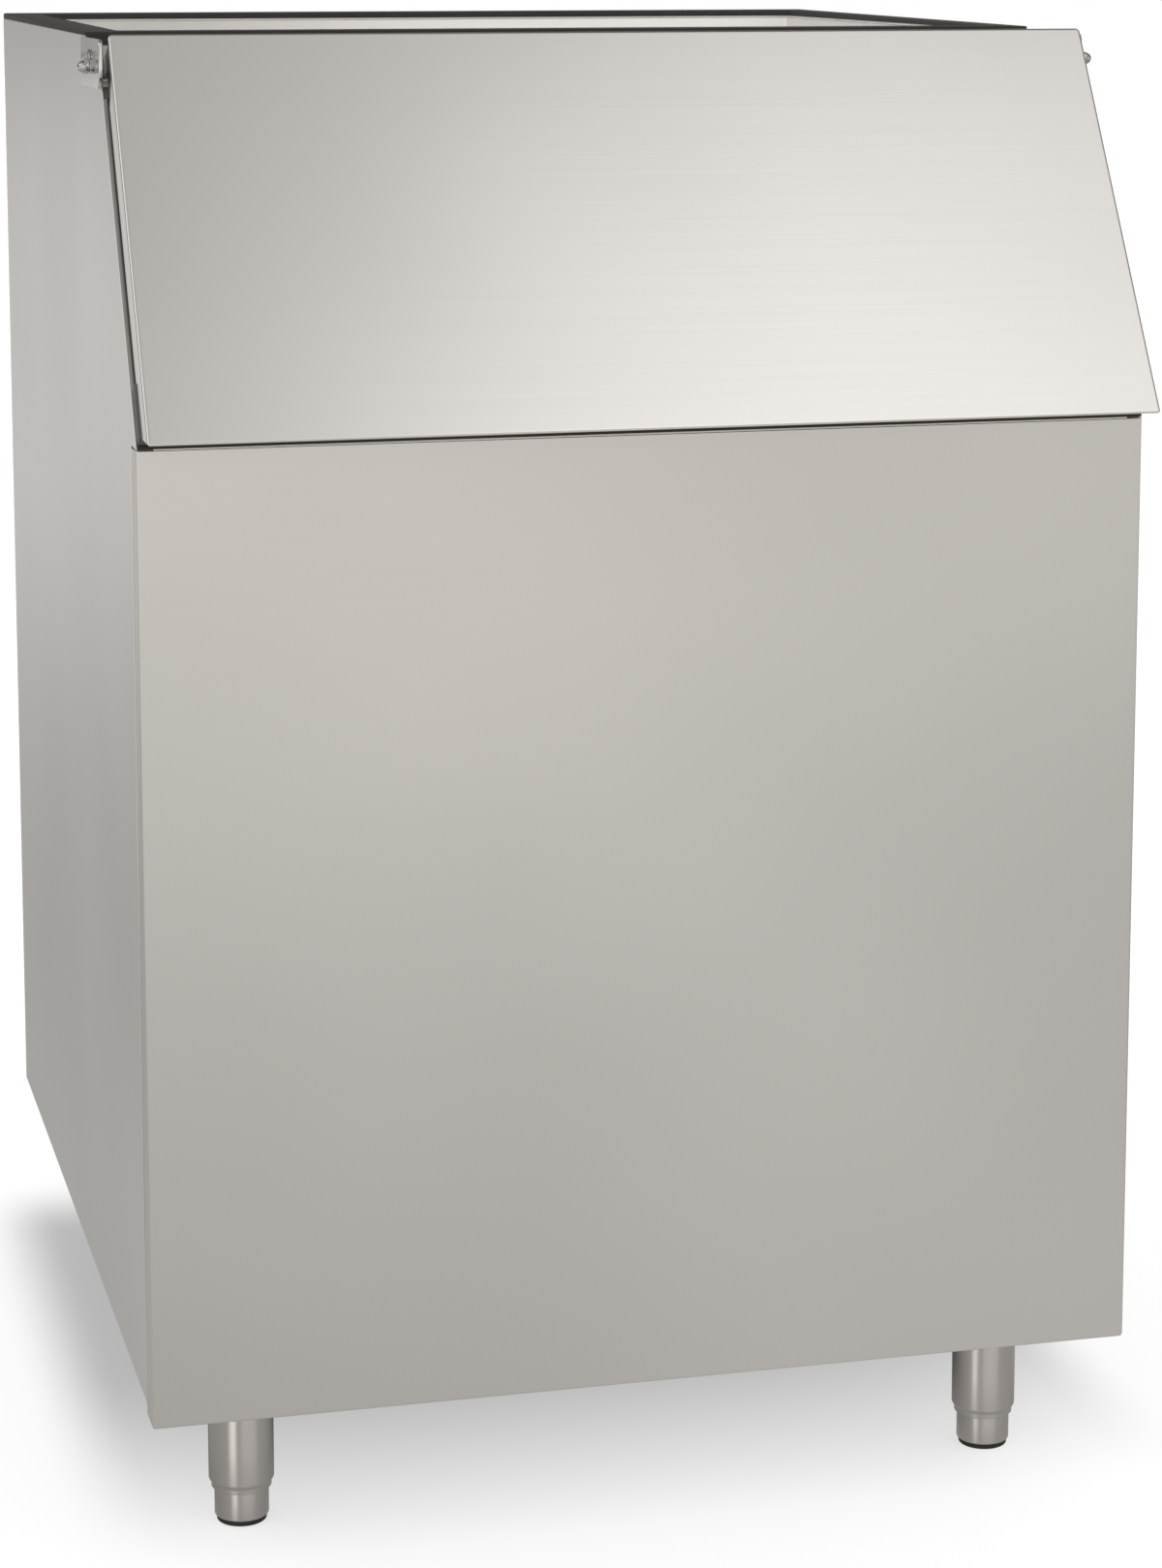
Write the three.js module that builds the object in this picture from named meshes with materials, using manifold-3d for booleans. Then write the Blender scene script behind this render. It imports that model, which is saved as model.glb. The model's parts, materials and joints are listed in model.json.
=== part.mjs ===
// A floor standing ice storage bin that an ice maker sits on.
// Stainless skins and a stainless tub with rigid foam between them, a slanted door hinged
// along its top, a black gasket round the top throat and four levelling legs.
// Millimetres, +Z up, the front faces -Y, the origin is on the floor under the middle.

import * as THREE from 'three';
import { mergeVertices } from 'three/addons/utils/BufferGeometryUtils.js';
import Module from 'manifold-3d';

const wasm = await Module();
wasm.setup();

// Driving sizes of the cabinet
const cabinetWidth = 762;
const cabinetDepth = 864;
const rimHeight = 1125;
const rimSetBack = 254;
const slantDrop = 285;
const baseHeight = 150;
const sideSkirtDrop = 25.5;
const frontSkirtDrop = 35;

// Sheet thicknesses, clearances and the overrun of every cut
const skin = 1;
const tubSheet = 1;
const baseSheet = 1.5;
const fitGap = 0.3;
const overrun = 20;

// Walls, measured from the outside of the skin to the inside of the tub
const sideWall = 30;
const frontWall = 47;
const backWall = 55;
const rimWall = 35;
const floorWall = 55;

// Tub floor and throat
const drainFlatRun = 220;
const floorFall = 10;
const sillFall = 8;
const headerFall = 12;

// Sheet details
const frontReturn = 28;
const frontTopFlange = 13.7;
const foldStep = 0.1;
const sideFlange = 12;
const sideFlangeDrop = 10.8;
const sideNotchDrop = 12;
const ledgeDrop = 35;
const ledgeRun = 96;
const baseFlange = 15;
const rimSheet = 1.5;

// Slanted opening: the lands below it, above it up to the ledge, and beside it
const openingStart = 36;
const headerLand = 33.8;
const openingSideLand = 41;
const trimSheet = 1.5;

// Top gasket
const gasketThickness = 5;
const gasketInset = 3;

// Door, in the slanted plane: along the slant and out from it
const doorSideGap = 2.5;
const doorStart = -15.7;
const doorTopRise = 21;
const doorStandOff = 14;
const doorThickness = 26;
const doorSheet = 1;
const doorPanelSheet = 3;
const plugDepth = 9;
const plugClearance = 6;
const sealWidth = 16;
const sealInset = 6;
const bumperWidth = 9;
const bumperStart = 3;
const bumperEnd = 46;

// Door pivot, measured from the ledge and from the slanted edge beside it
const pivotRise = 14.5;
const pivotProud = 5.8;
const pivotPinRadius = 4;
const pivotNutAcross = 12;
const pivotNutHeight = 5;
const bushOuterRadius = 6;
const bushFlangeRadius = 7.2;
const earThickness = 3;
const earRadius = 9;
const earLength = 46;
const earInset = 4;

// Hinge bracket on the outside of each side panel, and what fixes it
const bracketThickness = 3;
const bracketHalfHeight = 16.5;
const bracketRimGap = 0.5;
const bracketTopDrop = 0.6;
const bracketCorner = 5;
const backingThickness = 3;
const backingMargin = 9;
const backingTopMargin = 6;
const boltRadius = 3;
const boltAcross = 10;
const upperBoltBack = 38;
const upperBoltRise = 5;
const upperHeadHeight = 5.5;
const rearRivetBack = 78;
const rearRivetRise = -4;
const rivetHeadRadius = 4.5;
const rivetHeadHeight = 1.2;
const lockNutHeight = 5;
const acornHexHeight = 3.5;
const acornHeight = 8.5;

// Legs
const legFromSide = 80;
const legFromFront = 94;
const legRadius = 25;
const legWall = 1.8;
const legEndRadius = 23;
const legTaper = 4;
const legStart = 27;
const legPlateSize = 84;
const legPlateThickness = 3;
const legSpigot = 20;
const legThreadStart = 78;
const legThreadHeight = 8;
const footRadius = 20.8;
const footTop = 58;
const footStemRadius = 6;
const footStemTop = 116;
const footChamfer = 2;
const padRadius = 19;
const padHeight = 4;

// Drain at the back of the tub floor
const drainFromBack = 150;
const drainFlangeRadius = 34;
const drainFlangeHeight = 2;
const drainOuterRadius = 14;
const drainBoreRadius = 10.5;
const drainOutletDrop = 22;

// Roundness of turned pieces and of drilled holes
const turnedSides = 28;
const smallSides = 16;
const holeSegments = 8;

// Sizes worked out from the driving sizes
const halfWidth = cabinetWidth / 2;
const ledgeHeight = rimHeight - ledgeDrop;
const slantFoot = rimHeight - slantDrop;
const slantAngle = Math.atan2(rimSetBack - ledgeRun, ledgeHeight - slantFoot);
const ledgeAlong = alongAtHeight(ledgeHeight);
const openingEnd = ledgeAlong - headerLand;
const openingHalfWidth = halfWidth - openingSideLand;
const doorHalfWidth = halfWidth - doorSideGap;
const doorEnd = ledgeAlong + doorTopRise;
const noseProud = (doorStandOff + doorThickness) * Math.cos(slantAngle) - doorStart * Math.sin(slantAngle);
const frontY = noseProud - (cabinetDepth + noseProud) / 2;
const sideSkirtHeight = baseHeight - sideSkirtDrop;
const frontSkirtHeight = baseHeight - frontSkirtDrop;
const drainOutletHeight = baseHeight - drainOutletDrop;
const inFront = skin + fitGap;
const inBack = cabinetDepth - skin - fitGap;
const inSide = halfWidth - skin - fitGap;
const rimUnder = rimHeight - rimSheet - fitGap;
const ledgeUnder = ledgeHeight - skin - fitGap;
const trimUnder = -trimSheet - fitGap;
const tubHalf = halfWidth - sideWall;
const tubFloor = baseHeight + floorWall;
const foamBottom = baseHeight + baseSheet + fitGap;
const foamSideInner = tubHalf + tubSheet + fitGap;
const foamCrossHalf = foamSideInner - fitGap;
const pivot = slantAtHeight(ledgeHeight + pivotRise, pivotProud);
const bracketOuter = halfWidth + fitGap + bracketThickness;
const doorOuter = doorStandOff + doorThickness;

const materials = {
  skin: metal(0xb9b5ae, 0.34),
  door: metal(0xc4c0b9, 0.3),
  tub: metal(0xd2cec7, 0.36),
  hardware: metal(0xbfbcb6, 0.22),
  leg: metal(0xaaa59d, 0.3),
  gasket: plain(0x2d2a26, 0.6),
  seal: plain(0x5c5a56, 0.7),
  pad: plain(0x22201e, 0.8),
  foam: plain(0xe0d6a8, 0.95),
  panel: plain(0xdad9d4, 0.45),
  nylon: plain(0xe6e3da, 0.5),
};

function metal(color, roughness) {
  return new THREE.MeshStandardMaterial({ color, roughness, metalness: 1 });
}

function plain(color, roughness) {
  return new THREE.MeshStandardMaterial({ color, roughness, metalness: 0 });
}

// A point of the side view, from its depth behind the front panel and its height.
function sidePoint(depth, height) {
  return new THREE.Vector2(depth, height);
}

// A point of the side view, from its place up the slanted edge and out from it.
function slantPoint(along, out) {
  const depth = along * Math.sin(slantAngle) - out * Math.cos(slantAngle);
  const height = slantFoot + along * Math.cos(slantAngle) + out * Math.sin(slantAngle);
  return sidePoint(depth, height);
}

function slantAtHeight(height, out) {
  const along = (height - slantFoot - out * Math.sin(slantAngle)) / Math.cos(slantAngle);
  return slantPoint(along, out);
}

function slantAtDepth(depth, out) {
  const along = (depth + out * Math.cos(slantAngle)) / Math.sin(slantAngle);
  return slantPoint(along, out);
}

// How far up the slant a height lies on the slanted edge itself.
function alongAtHeight(height) {
  return (height - slantFoot) / Math.cos(slantAngle);
}

// Moves each edge of an outline that runs anticlockwise outwards by its own amount.
function offsetOutline(points, amounts) {
  const count = points.length;
  const lines = points.map((start, i) => {
    const direction = points[(i + 1) % count].clone().sub(start).normalize();
    const normal = new THREE.Vector2(direction.y, -direction.x);
    return { start: start.clone().addScaledVector(normal, amounts[i]), direction };
  });
  return lines.map((line, i) => crossing(lines[(i + count - 1) % count], line));
}

function crossing(first, second) {
  const between = second.start.clone().sub(first.start);
  const share = between.cross(second.direction) / first.direction.cross(second.direction);
  return first.start.clone().addScaledVector(first.direction, share);
}

// A bent sheet: the outer path, and the same path moved to its left by the thickness.
function sheetOutline(path, thickness) {
  const inner = path.map((point, i) => {
    const before = path[Math.max(i - 1, 0)];
    const after = path[Math.min(i + 1, path.length - 1)];
    const arriving = point.clone().sub(before);
    const leaving = after.clone().sub(point);
    const first = (arriving.length() ? arriving : leaving).clone().normalize();
    const second = (leaving.length() ? leaving : arriving).clone().normalize();
    const middle = leftOf(first).add(leftOf(second)).normalize();
    return point.clone().addScaledVector(middle, thickness / middle.dot(leftOf(first)));
  });
  return [...path, ...inner.reverse()];
}

function leftOf(direction) {
  return new THREE.Vector2(-direction.y, direction.x);
}

// A side view outline carried along X, from one X to the other.
function sidePrism(outline, fromX, toX, holes = []) {
  const shape = outline instanceof THREE.Shape ? outline : new THREE.Shape(outline);
  shape.holes.push(...holes);
  const options = { depth: toX - fromX, bevelEnabled: false, curveSegments: holeSegments };
  const geometry = new THREE.ExtrudeGeometry(shape, options);
  const axes = new THREE.Matrix4().makeBasis(
    new THREE.Vector3(0, 1, 0), new THREE.Vector3(0, 0, 1), new THREE.Vector3(1, 0, 0));
  return geometry.applyMatrix4(axes).translate(fromX, frontY, 0);
}

// A box from its lowest and its highest corner.
function block(low, high) {
  const size = high.map((value, i) => value - low[i]);
  const middle = high.map((value, i) => (value + low[i]) / 2);
  return new THREE.BoxGeometry(...size).translate(...middle);
}

// A box placed by depth behind the front panel in place of Y.
function cabinetBlock(low, high) {
  return block(low, high).translate(0, frontY, 0);
}

// A profile of [radius, place] pairs turned about an axis that ends up along +Z.
function turned(profile, sides = smallSides) {
  const points = profile.map(([radius, place]) => new THREE.Vector2(radius, place));
  return new THREE.LatheGeometry([...points, points[0]], sides).rotateX(Math.PI / 2);
}

function hexagon(across, from, to) {
  const radius = across / Math.sqrt(3);
  const bar = new THREE.CylinderGeometry(radius, radius, to - from, 6).rotateX(Math.PI / 2);
  return bar.translate(0, 0, (from + to) / 2);
}

function circleHole(center, radius) {
  const path = new THREE.Path();
  path.absarc(center.x, center.y, radius, 0, 2 * Math.PI, true);
  return path;
}

function toSolid(geometry) {
  const bare = geometry.clone();
  bare.deleteAttribute('normal');
  bare.deleteAttribute('uv');
  const merged = mergeVertices(bare);
  const vertProperties = new Float32Array(merged.attributes.position.array);
  const triVerts = new Uint32Array(merged.index.array);
  return new wasm.Manifold(new wasm.Mesh({ numProp: 3, vertProperties, triVerts }));
}

function toGeometry(solid) {
  const { vertProperties, triVerts } = solid.getMesh();
  const geometry = new THREE.BufferGeometry();
  geometry.setAttribute('position', new THREE.BufferAttribute(new Float32Array(vertProperties), 3));
  geometry.setIndex(new THREE.BufferAttribute(new Uint32Array(triVerts), 1));
  geometry.computeVertexNormals();
  return geometry;
}

function joined(...geometries) {
  return toGeometry(geometries.map(toSolid).reduce((sum, next) => sum.add(next)));
}

function cut(geometry, ...tools) {
  return toGeometry(tools.map(toSolid).reduce((left, tool) => left.subtract(tool), toSolid(geometry)));
}

function piece(name, geometry, material) {
  const mesh = new THREE.Mesh(geometry, material);
  mesh.name = name;
  return mesh;
}

const bin = new THREE.Group();
const slanted = new THREE.Group();
slanted.position.set(0, frontY, slantFoot);
slanted.rotation.x = Math.PI / 2 - slantAngle;
bin.add(slanted);

// The tub: its inside seen from the side, anticlockwise from the front of the floor.
// The rows are point, then whether the edge that leaves it is open.
const tubBack = cabinetDepth - backWall;
const throatFront = rimSetBack + rimWall;
const openingTop = slantPoint(openingEnd, trimUnder);
const openingFoot = slantPoint(openingStart, trimUnder);
const tubRows = [
  [sidePoint(frontWall, tubFloor + floorFall), false],
  [sidePoint(tubBack - drainFlatRun, tubFloor), false],
  [sidePoint(tubBack, tubFloor), false],
  [sidePoint(tubBack, rimUnder), true],
  [sidePoint(throatFront, rimUnder), false],
  [sidePoint(throatFront, openingTop.y - headerFall), false],
  [openingTop, true],
  [openingFoot, false],
  [sidePoint(frontWall, openingFoot.y - sillFall), false],
];
const tubInside = tubRows.map(([point]) => point);
const foamInside = offsetOutline(tubInside, tubRows.map(([, open]) => (open ? 0 : tubSheet + fitGap)));
const drainPlace = sidePoint(cabinetDepth - drainFromBack, 0);

function drainHole(radius, from, to) {
  const bar = turned([[0, from], [radius, from], [radius, to], [0, to]], turnedSides);
  return bar.translate(0, frontY + drainPlace.x, 0);
}

function makeTub() {
  const outside = offsetOutline(tubInside, tubRows.map(([, open]) => (open ? 0 : tubSheet)));
  const hollow = offsetOutline(tubInside, tubRows.map(([, open]) => (open ? overrun : 0)));
  const shell = sidePrism(outside, -tubHalf - tubSheet, tubHalf + tubSheet);
  const space = sidePrism(hollow, -tubHalf, tubHalf);
  return cut(shell, space, drainHole(drainOuterRadius + fitGap, tubFloor - overrun, tubFloor + overrun));
}

function makeSideFoam(side) {
  const outline = [
    sidePoint(inFront, foamBottom),
    sidePoint(inBack, foamBottom),
    sidePoint(inBack, rimUnder),
    sidePoint(rimSetBack + inFront, rimUnder),
    sidePoint(rimSetBack + inFront, ledgeUnder),
    slantAtHeight(ledgeUnder, trimUnder),
    slantAtDepth(inFront, trimUnder),
  ];
  const reach = [foamSideInner, inSide].map((x) => side * x).sort((a, b) => a - b);
  return sidePrism(outline, ...reach);
}

function makeFloorFoam() {
  const outline = [
    sidePoint(inFront, foamBottom),
    sidePoint(inBack, foamBottom),
    sidePoint(inBack, foamInside[2].y),
    foamInside[1],
    foamInside[0],
    sidePoint(inFront, foamInside[0].y),
  ];
  const slab = sidePrism(outline, -foamCrossHalf, foamCrossHalf);
  return cut(slab, drainHole(drainOuterRadius + fitGap, baseHeight, tubFloor + overrun));
}

function makeFrontFoam() {
  const bottom = foamInside[0].y + fitGap;
  const outline = [
    sidePoint(inFront, bottom),
    sidePoint(foamInside[0].x, bottom),
    foamInside[8],
    foamInside[7],
    slantAtDepth(inFront, trimUnder),
  ];
  return sidePrism(outline, -foamCrossHalf, foamCrossHalf);
}

function makeBackFoam() {
  const low = [-foamCrossHalf, foamInside[2].x, foamInside[2].y + fitGap];
  return cabinetBlock(low, [foamCrossHalf, inBack, rimUnder]);
}

function makeHeaderFoam() {
  const outline = [
    foamInside[6],
    foamInside[5],
    foamInside[4],
    sidePoint(rimSetBack + inFront, rimUnder),
    sidePoint(rimSetBack + inFront, ledgeUnder),
    slantAtHeight(ledgeUnder, trimUnder),
  ];
  return sidePrism(outline, -foamCrossHalf, foamCrossHalf);
}

bin.add(
  piece('tub_liner', makeTub(), materials.tub),
  piece('foam_left', makeSideFoam(-1), materials.foam),
  piece('foam_right', makeSideFoam(1), materials.foam),
  piece('foam_floor', makeFloorFoam(), materials.foam),
  piece('foam_front', makeFrontFoam(), materials.foam),
  piece('foam_back', makeBackFoam(), materials.foam),
  piece('foam_header', makeHeaderFoam(), materials.foam),
);

// Outer sheets
const upperBolt = sidePoint(pivot.x + upperBoltBack, pivot.y + upperBoltRise);
const rearRivet = sidePoint(pivot.x + rearRivetBack, pivot.y + rearRivetRise);
const boltHoleRadius = boltRadius + fitGap;

function makeSidePanel(side) {
  const shoulder = rimHeight - sideNotchDrop;
  const outline = [
    sidePoint(frontReturn + fitGap, sideSkirtHeight),
    sidePoint(inBack, sideSkirtHeight),
    sidePoint(inBack, rimHeight),
    sidePoint(rimSetBack, rimHeight),
    sidePoint(rimSetBack, shoulder),
    slantAtHeight(shoulder, 0),
    slantAtHeight(slantFoot + fitGap, 0),
    sidePoint(frontReturn + fitGap, slantFoot + fitGap),
  ];
  const holes = [upperBolt, rearRivet].map((center) => circleHole(center, boltHoleRadius));
  const outerX = [halfWidth - skin, halfWidth].map((x) => side * x).sort((a, b) => a - b);
  const flangeEdges = [halfWidth - sideFlange, halfWidth - skin / 2];
  const flangeX = flangeEdges.map((x) => side * x).sort((a, b) => a - b);
  const flangeStart = 2 * skin;
  const flangeEnd = ledgeAlong - sideFlangeDrop;
  const flange = [
    slantPoint(flangeStart, -skin),
    slantPoint(flangeEnd, -skin),
    slantPoint(flangeEnd, -foldStep),
    slantPoint(flangeStart, -foldStep),
  ];
  return joined(sidePrism(outline, ...outerX, holes), sidePrism(flange, ...flangeX));
}

function makeFrontPanel() {
  const inner = halfWidth - sideFlange - fitGap;
  const pan = cabinetBlock([-halfWidth, 0, frontSkirtHeight], [halfWidth, frontReturn, slantFoot]);
  const low = [-halfWidth + skin, skin, frontSkirtHeight + skin];
  const hollow = cabinetBlock(low, [halfWidth - skin, frontReturn + overrun, slantFoot + overrun]);
  const flange = [
    sidePoint(skin / 2, slantFoot - 2 * skin),
    slantPoint(frontTopFlange, -skin),
    slantPoint(frontTopFlange, -foldStep),
    slantAtDepth(skin / 2, -foldStep),
  ];
  return joined(cut(pan, hollow), sidePrism(flange, -inner, inner));
}

function makeBackPanel() {
  const low = [-halfWidth, cabinetDepth - skin, sideSkirtHeight];
  return cabinetBlock(low, [halfWidth, cabinetDepth, rimHeight]);
}

function makeBasePan() {
  const lip = baseHeight - baseFlange;
  const pan = cabinetBlock([-inSide, inFront, lip], [inSide, inBack, baseHeight + baseSheet]);
  const low = [-inSide + baseSheet, inFront + baseSheet, lip - overrun];
  const hollow = cabinetBlock(low, [inSide - baseSheet, inBack - baseSheet, baseHeight]);
  return cut(pan, hollow, drainHole(drainOuterRadius + fitGap, baseHeight - overrun, tubFloor));
}

function makeLedgeCover() {
  const path = [
    sidePoint(rimSetBack, rimUnder),
    sidePoint(rimSetBack, ledgeHeight),
    slantAtHeight(ledgeHeight, 0),
  ];
  return sidePrism(sheetOutline(path, skin), -inSide, inSide);
}

// A flat ring that lies level between two heights, from depths and half widths.
function levelRing(outer, inner, from, to) {
  const ring = cabinetBlock([-outer.half, outer.front, from], [outer.half, outer.back, to]);
  const low = [-inner.half, inner.front, from - overrun];
  return cut(ring, cabinetBlock(low, [inner.half, inner.back, to + overrun]));
}

const throat = { half: tubHalf, front: throatFront, back: tubBack };

function makeRimFrame() {
  const outer = { half: inSide, front: rimSetBack, back: inBack };
  return levelRing(outer, throat, rimHeight - rimSheet, rimHeight);
}

function makeTopGasket() {
  const outer = { half: halfWidth, front: rimSetBack, back: cabinetDepth };
  const inner = {
    half: throat.half + gasketInset,
    front: throat.front - gasketInset,
    back: throat.back + gasketInset,
  };
  return levelRing(outer, inner, rimHeight + fitGap, rimHeight + gasketThickness);
}

bin.add(
  piece('side_panel_left', makeSidePanel(-1), materials.skin),
  piece('side_panel_right', makeSidePanel(1), materials.skin),
  piece('front_panel', makeFrontPanel(), materials.skin),
  piece('back_panel', makeBackPanel(), materials.skin),
  piece('base_pan', makeBasePan(), materials.skin),
  piece('ledge_cover', makeLedgeCover(), materials.skin),
  piece('rim_frame', makeRimFrame(), materials.tub),
  piece('top_gasket', makeTopGasket(), materials.gasket),
);

// Pieces in the slanted frame: X across, Y up the slant, Z out from it.
function slantRing(outer, inner, from, to) {
  const ring = block([-outer.half, outer.start, from], [outer.half, outer.end, to]);
  const low = [-inner.half, inner.start, from - overrun];
  return cut(ring, block(low, [inner.half, inner.end, to + overrun]));
}

const opening = { half: openingHalfWidth, start: openingStart, end: openingEnd };
const trimOuter = {
  half: halfWidth - sideFlange - fitGap,
  start: frontTopFlange + fitGap,
  end: ledgeAlong - skin / Math.cos(slantAngle) - fitGap,
};

function makeOpeningTrim() {
  return slantRing(trimOuter, opening, -trimSheet, 0);
}

function makeDoorSeal() {
  const bottomLand = (trimOuter.start + opening.start) / 2;
  const inner = {
    half: opening.half + sealInset,
    start: bottomLand + sealWidth / 2,
    end: opening.end + sealInset,
  };
  const outer = {
    half: inner.half + sealWidth,
    start: inner.start - sealWidth,
    end: inner.end + sealWidth,
  };
  return slantRing(outer, inner, fitGap, doorStandOff - fitGap);
}

function makeBumper(side) {
  const outerX = halfWidth - skin;
  const reach = [outerX - bumperWidth, outerX].map((x) => side * x).sort((a, b) => a - b);
  return block([reach[0], bumperStart, fitGap], [reach[1], bumperEnd, doorStandOff - fitGap]);
}

// How far up the slant the level plane of the door's bottom lies, at a place out from it.
function doorFoot(out, inset) {
  return doorStart + (doorOuter - out) * Math.tan(slantAngle) + inset / Math.cos(slantAngle);
}

// The side view of the door between two places out from the slant, with a level bottom.
function doorOutline(from, to, end, inset) {
  return new THREE.Shape([
    new THREE.Vector2(doorFoot(from, inset), from),
    new THREE.Vector2(end, from),
    new THREE.Vector2(end, to),
    new THREE.Vector2(doorFoot(to, inset), to),
  ]);
}

// The pan of the door skin, open towards the cabinet, whose lower flange lies level.
function makeDoorSkin() {
  const outside = doorOutline(doorStandOff, doorOuter, doorEnd, 0);
  const face = doorOuter - doorSheet;
  const inside = doorOutline(doorStandOff - overrun, face, doorEnd - doorSheet, doorSheet);
  const pan = slantPrism(outside, -doorHalfWidth, doorHalfWidth);
  return cut(pan, slantPrism(inside, -doorHalfWidth + doorSheet, doorHalfWidth - doorSheet));
}

// An outline in the plane of slant and out, carried along X.
function slantPrism(shape, fromX, toX) {
  const options = { depth: toX - fromX, bevelEnabled: false, curveSegments: holeSegments };
  const axes = new THREE.Matrix4().makeBasis(
    new THREE.Vector3(0, 1, 0), new THREE.Vector3(0, 0, 1), new THREE.Vector3(1, 0, 0));
  return new THREE.ExtrudeGeometry(shape, options).applyMatrix4(axes).translate(fromX, 0, 0);
}

// The pivot in the slanted frame, and the ear that hangs the door on it.
const pivotAlong = pivot.x * Math.sin(slantAngle) + (pivot.y - slantFoot) * Math.cos(slantAngle);
const earOuter = doorHalfWidth - doorSheet - fitGap;
const earInner = earOuter - earThickness;
const earTop = doorEnd - doorSheet - fitGap;
const earFace = doorOuter - doorSheet - fitGap;

function makeEar(side) {
  const shape = new THREE.Shape();
  shape.moveTo(earTop, doorStandOff - fitGap);
  shape.lineTo(earTop, earFace);
  shape.lineTo(earTop - earLength, earFace);
  shape.lineTo(earTop - earLength, doorStandOff + earInset);
  shape.lineTo(pivotAlong - earRadius, pivotProud);
  shape.absarc(pivotAlong, pivotProud, earRadius, Math.PI, 2 * Math.PI, false);
  shape.closePath();
  shape.holes.push(circleHole(new THREE.Vector2(pivotAlong, pivotProud), bushOuterRadius + fitGap));
  const reach = [earInner, earOuter].map((x) => side * x).sort((a, b) => a - b);
  return slantPrism(shape, ...reach);
}

// The pocket that the inner panel and the foam leave round each ear.
function earPocket(side) {
  const reach = [earInner - fitGap, doorHalfWidth].map((x) => side * x).sort((a, b) => a - b);
  const start = earTop - earLength - fitGap;
  return block([reach[0], start, doorStandOff - overrun], [reach[1], doorEnd, doorOuter]);
}

const panelOuter = {
  half: doorHalfWidth - doorSheet - fitGap,
  start: doorFoot(doorStandOff, doorSheet + fitGap),
  end: doorEnd - doorSheet - fitGap,
};
const plug = {
  half: opening.half - plugClearance,
  start: opening.start + plugClearance,
  end: opening.end - plugClearance,
};

function makeDoorPanel() {
  const top = doorStandOff + doorPanelSheet;
  const { half, start, end } = panelOuter;
  const plate = block([-half, start, doorStandOff], [half, end, top]);
  const boss = block([-plug.half, plug.start, doorStandOff - plugDepth], [plug.half, plug.end, top]);
  const wall = doorPanelSheet;
  const low = [-plug.half + wall, plug.start + wall, doorStandOff - plugDepth + wall];
  const dish = block(low, [plug.half - wall, plug.end - wall, top + overrun]);
  return cut(joined(plate, boss), dish, earPocket(-1), earPocket(1));
}

function makeDoorFoam() {
  const bottom = doorStandOff + doorPanelSheet + fitGap;
  const outline = doorOutline(bottom, earFace, panelOuter.end, doorSheet + fitGap);
  const core = slantPrism(outline, -panelOuter.half, panelOuter.half);
  const inset = doorPanelSheet + fitGap;
  const low = [-plug.half + inset, plug.start + inset, doorStandOff - plugDepth + inset];
  const filling = block(low, [plug.half - inset, plug.end - inset, earFace]);
  return cut(joined(core, filling), earPocket(-1), earPocket(1));
}

slanted.add(
  piece('opening_trim', makeOpeningTrim(), materials.tub),
  piece('door_seal', makeDoorSeal(), materials.seal),
  piece('door_bumper_left', makeBumper(-1), materials.seal),
  piece('door_bumper_right', makeBumper(1), materials.seal),
  piece('door_skin', makeDoorSkin(), materials.door),
  piece('door_inner_panel', makeDoorPanel(), materials.panel),
  piece('door_foam', makeDoorFoam(), materials.foam),
  piece('door_ear_left', makeEar(-1), materials.hardware),
  piece('door_ear_right', makeEar(1), materials.hardware),
);

// Hinge hardware. Turned pieces run along +Z and are laid along X, out of the cabinet.
function makeBracket(side) {
  const shape = new THREE.Shape();
  const top = rimHeight - bracketTopDrop;
  const front = pivot.x - bracketHalfHeight;
  const rear = rimSetBack - bracketRimGap;
  shape.moveTo(rear, pivot.y - bracketHalfHeight);
  shape.lineTo(rear, top);
  shape.absarc(front + bracketCorner, top - bracketCorner, bracketCorner, Math.PI / 2, Math.PI, false);
  shape.absarc(pivot.x, pivot.y, bracketHalfHeight, Math.PI, 1.5 * Math.PI, false);
  shape.closePath();
  const holes = [upperBolt, rearRivet, pivot].map((center) => circleHole(center, boltHoleRadius));
  const reach = [halfWidth + fitGap, bracketOuter].map((x) => side * x).sort((a, b) => a - b);
  return sidePrism(shape, ...reach, holes);
}

function makeBackingPlate(side) {
  const low = sidePoint(upperBolt.x - backingMargin, ledgeHeight + fitGap);
  const high = sidePoint(rearRivet.x + backingMargin, upperBolt.y + backingTopMargin);
  const outline = [low, sidePoint(high.x, low.y), high, sidePoint(low.x, high.y)];
  const holes = [upperBolt, rearRivet].map((center) => circleHole(center, boltHoleRadius));
  const reach = [inSide - backingThickness, inSide].map((x) => side * x).sort((a, b) => a - b);
  return sidePrism(outline, ...reach, holes);
}

function makeUpperBolt() {
  const head = hexagon(boltAcross, bracketOuter + fitGap, bracketOuter + fitGap + upperHeadHeight);
  const end = inSide - backingThickness;
  const seat = bracketOuter + 2 * fitGap;
  const shank = turned([[0, end], [boltRadius, end], [boltRadius, seat], [0, seat]]);
  return joined(head, shank);
}

// A rivet with a low head on the bracket and another on the backing plate.
function makeRearRivet() {
  const seat = bracketOuter + fitGap;
  const tail = inSide - backingThickness - fitGap;
  return turned([
    [0, tail - rivetHeadHeight],
    [rivetHeadRadius, tail - rivetHeadHeight],
    [rivetHeadRadius, tail],
    [boltRadius, tail],
    [boltRadius, seat],
    [rivetHeadRadius, seat],
    [rivetHeadRadius, seat + rivetHeadHeight],
    [0, seat + rivetHeadHeight],
  ]);
}

function makeHexNut(across, height, holeRadius) {
  const bore = turned([[0, -overrun], [holeRadius, -overrun], [holeRadius, overrun], [0, overrun]]);
  return cut(hexagon(across, 0, height), bore);
}

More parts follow.
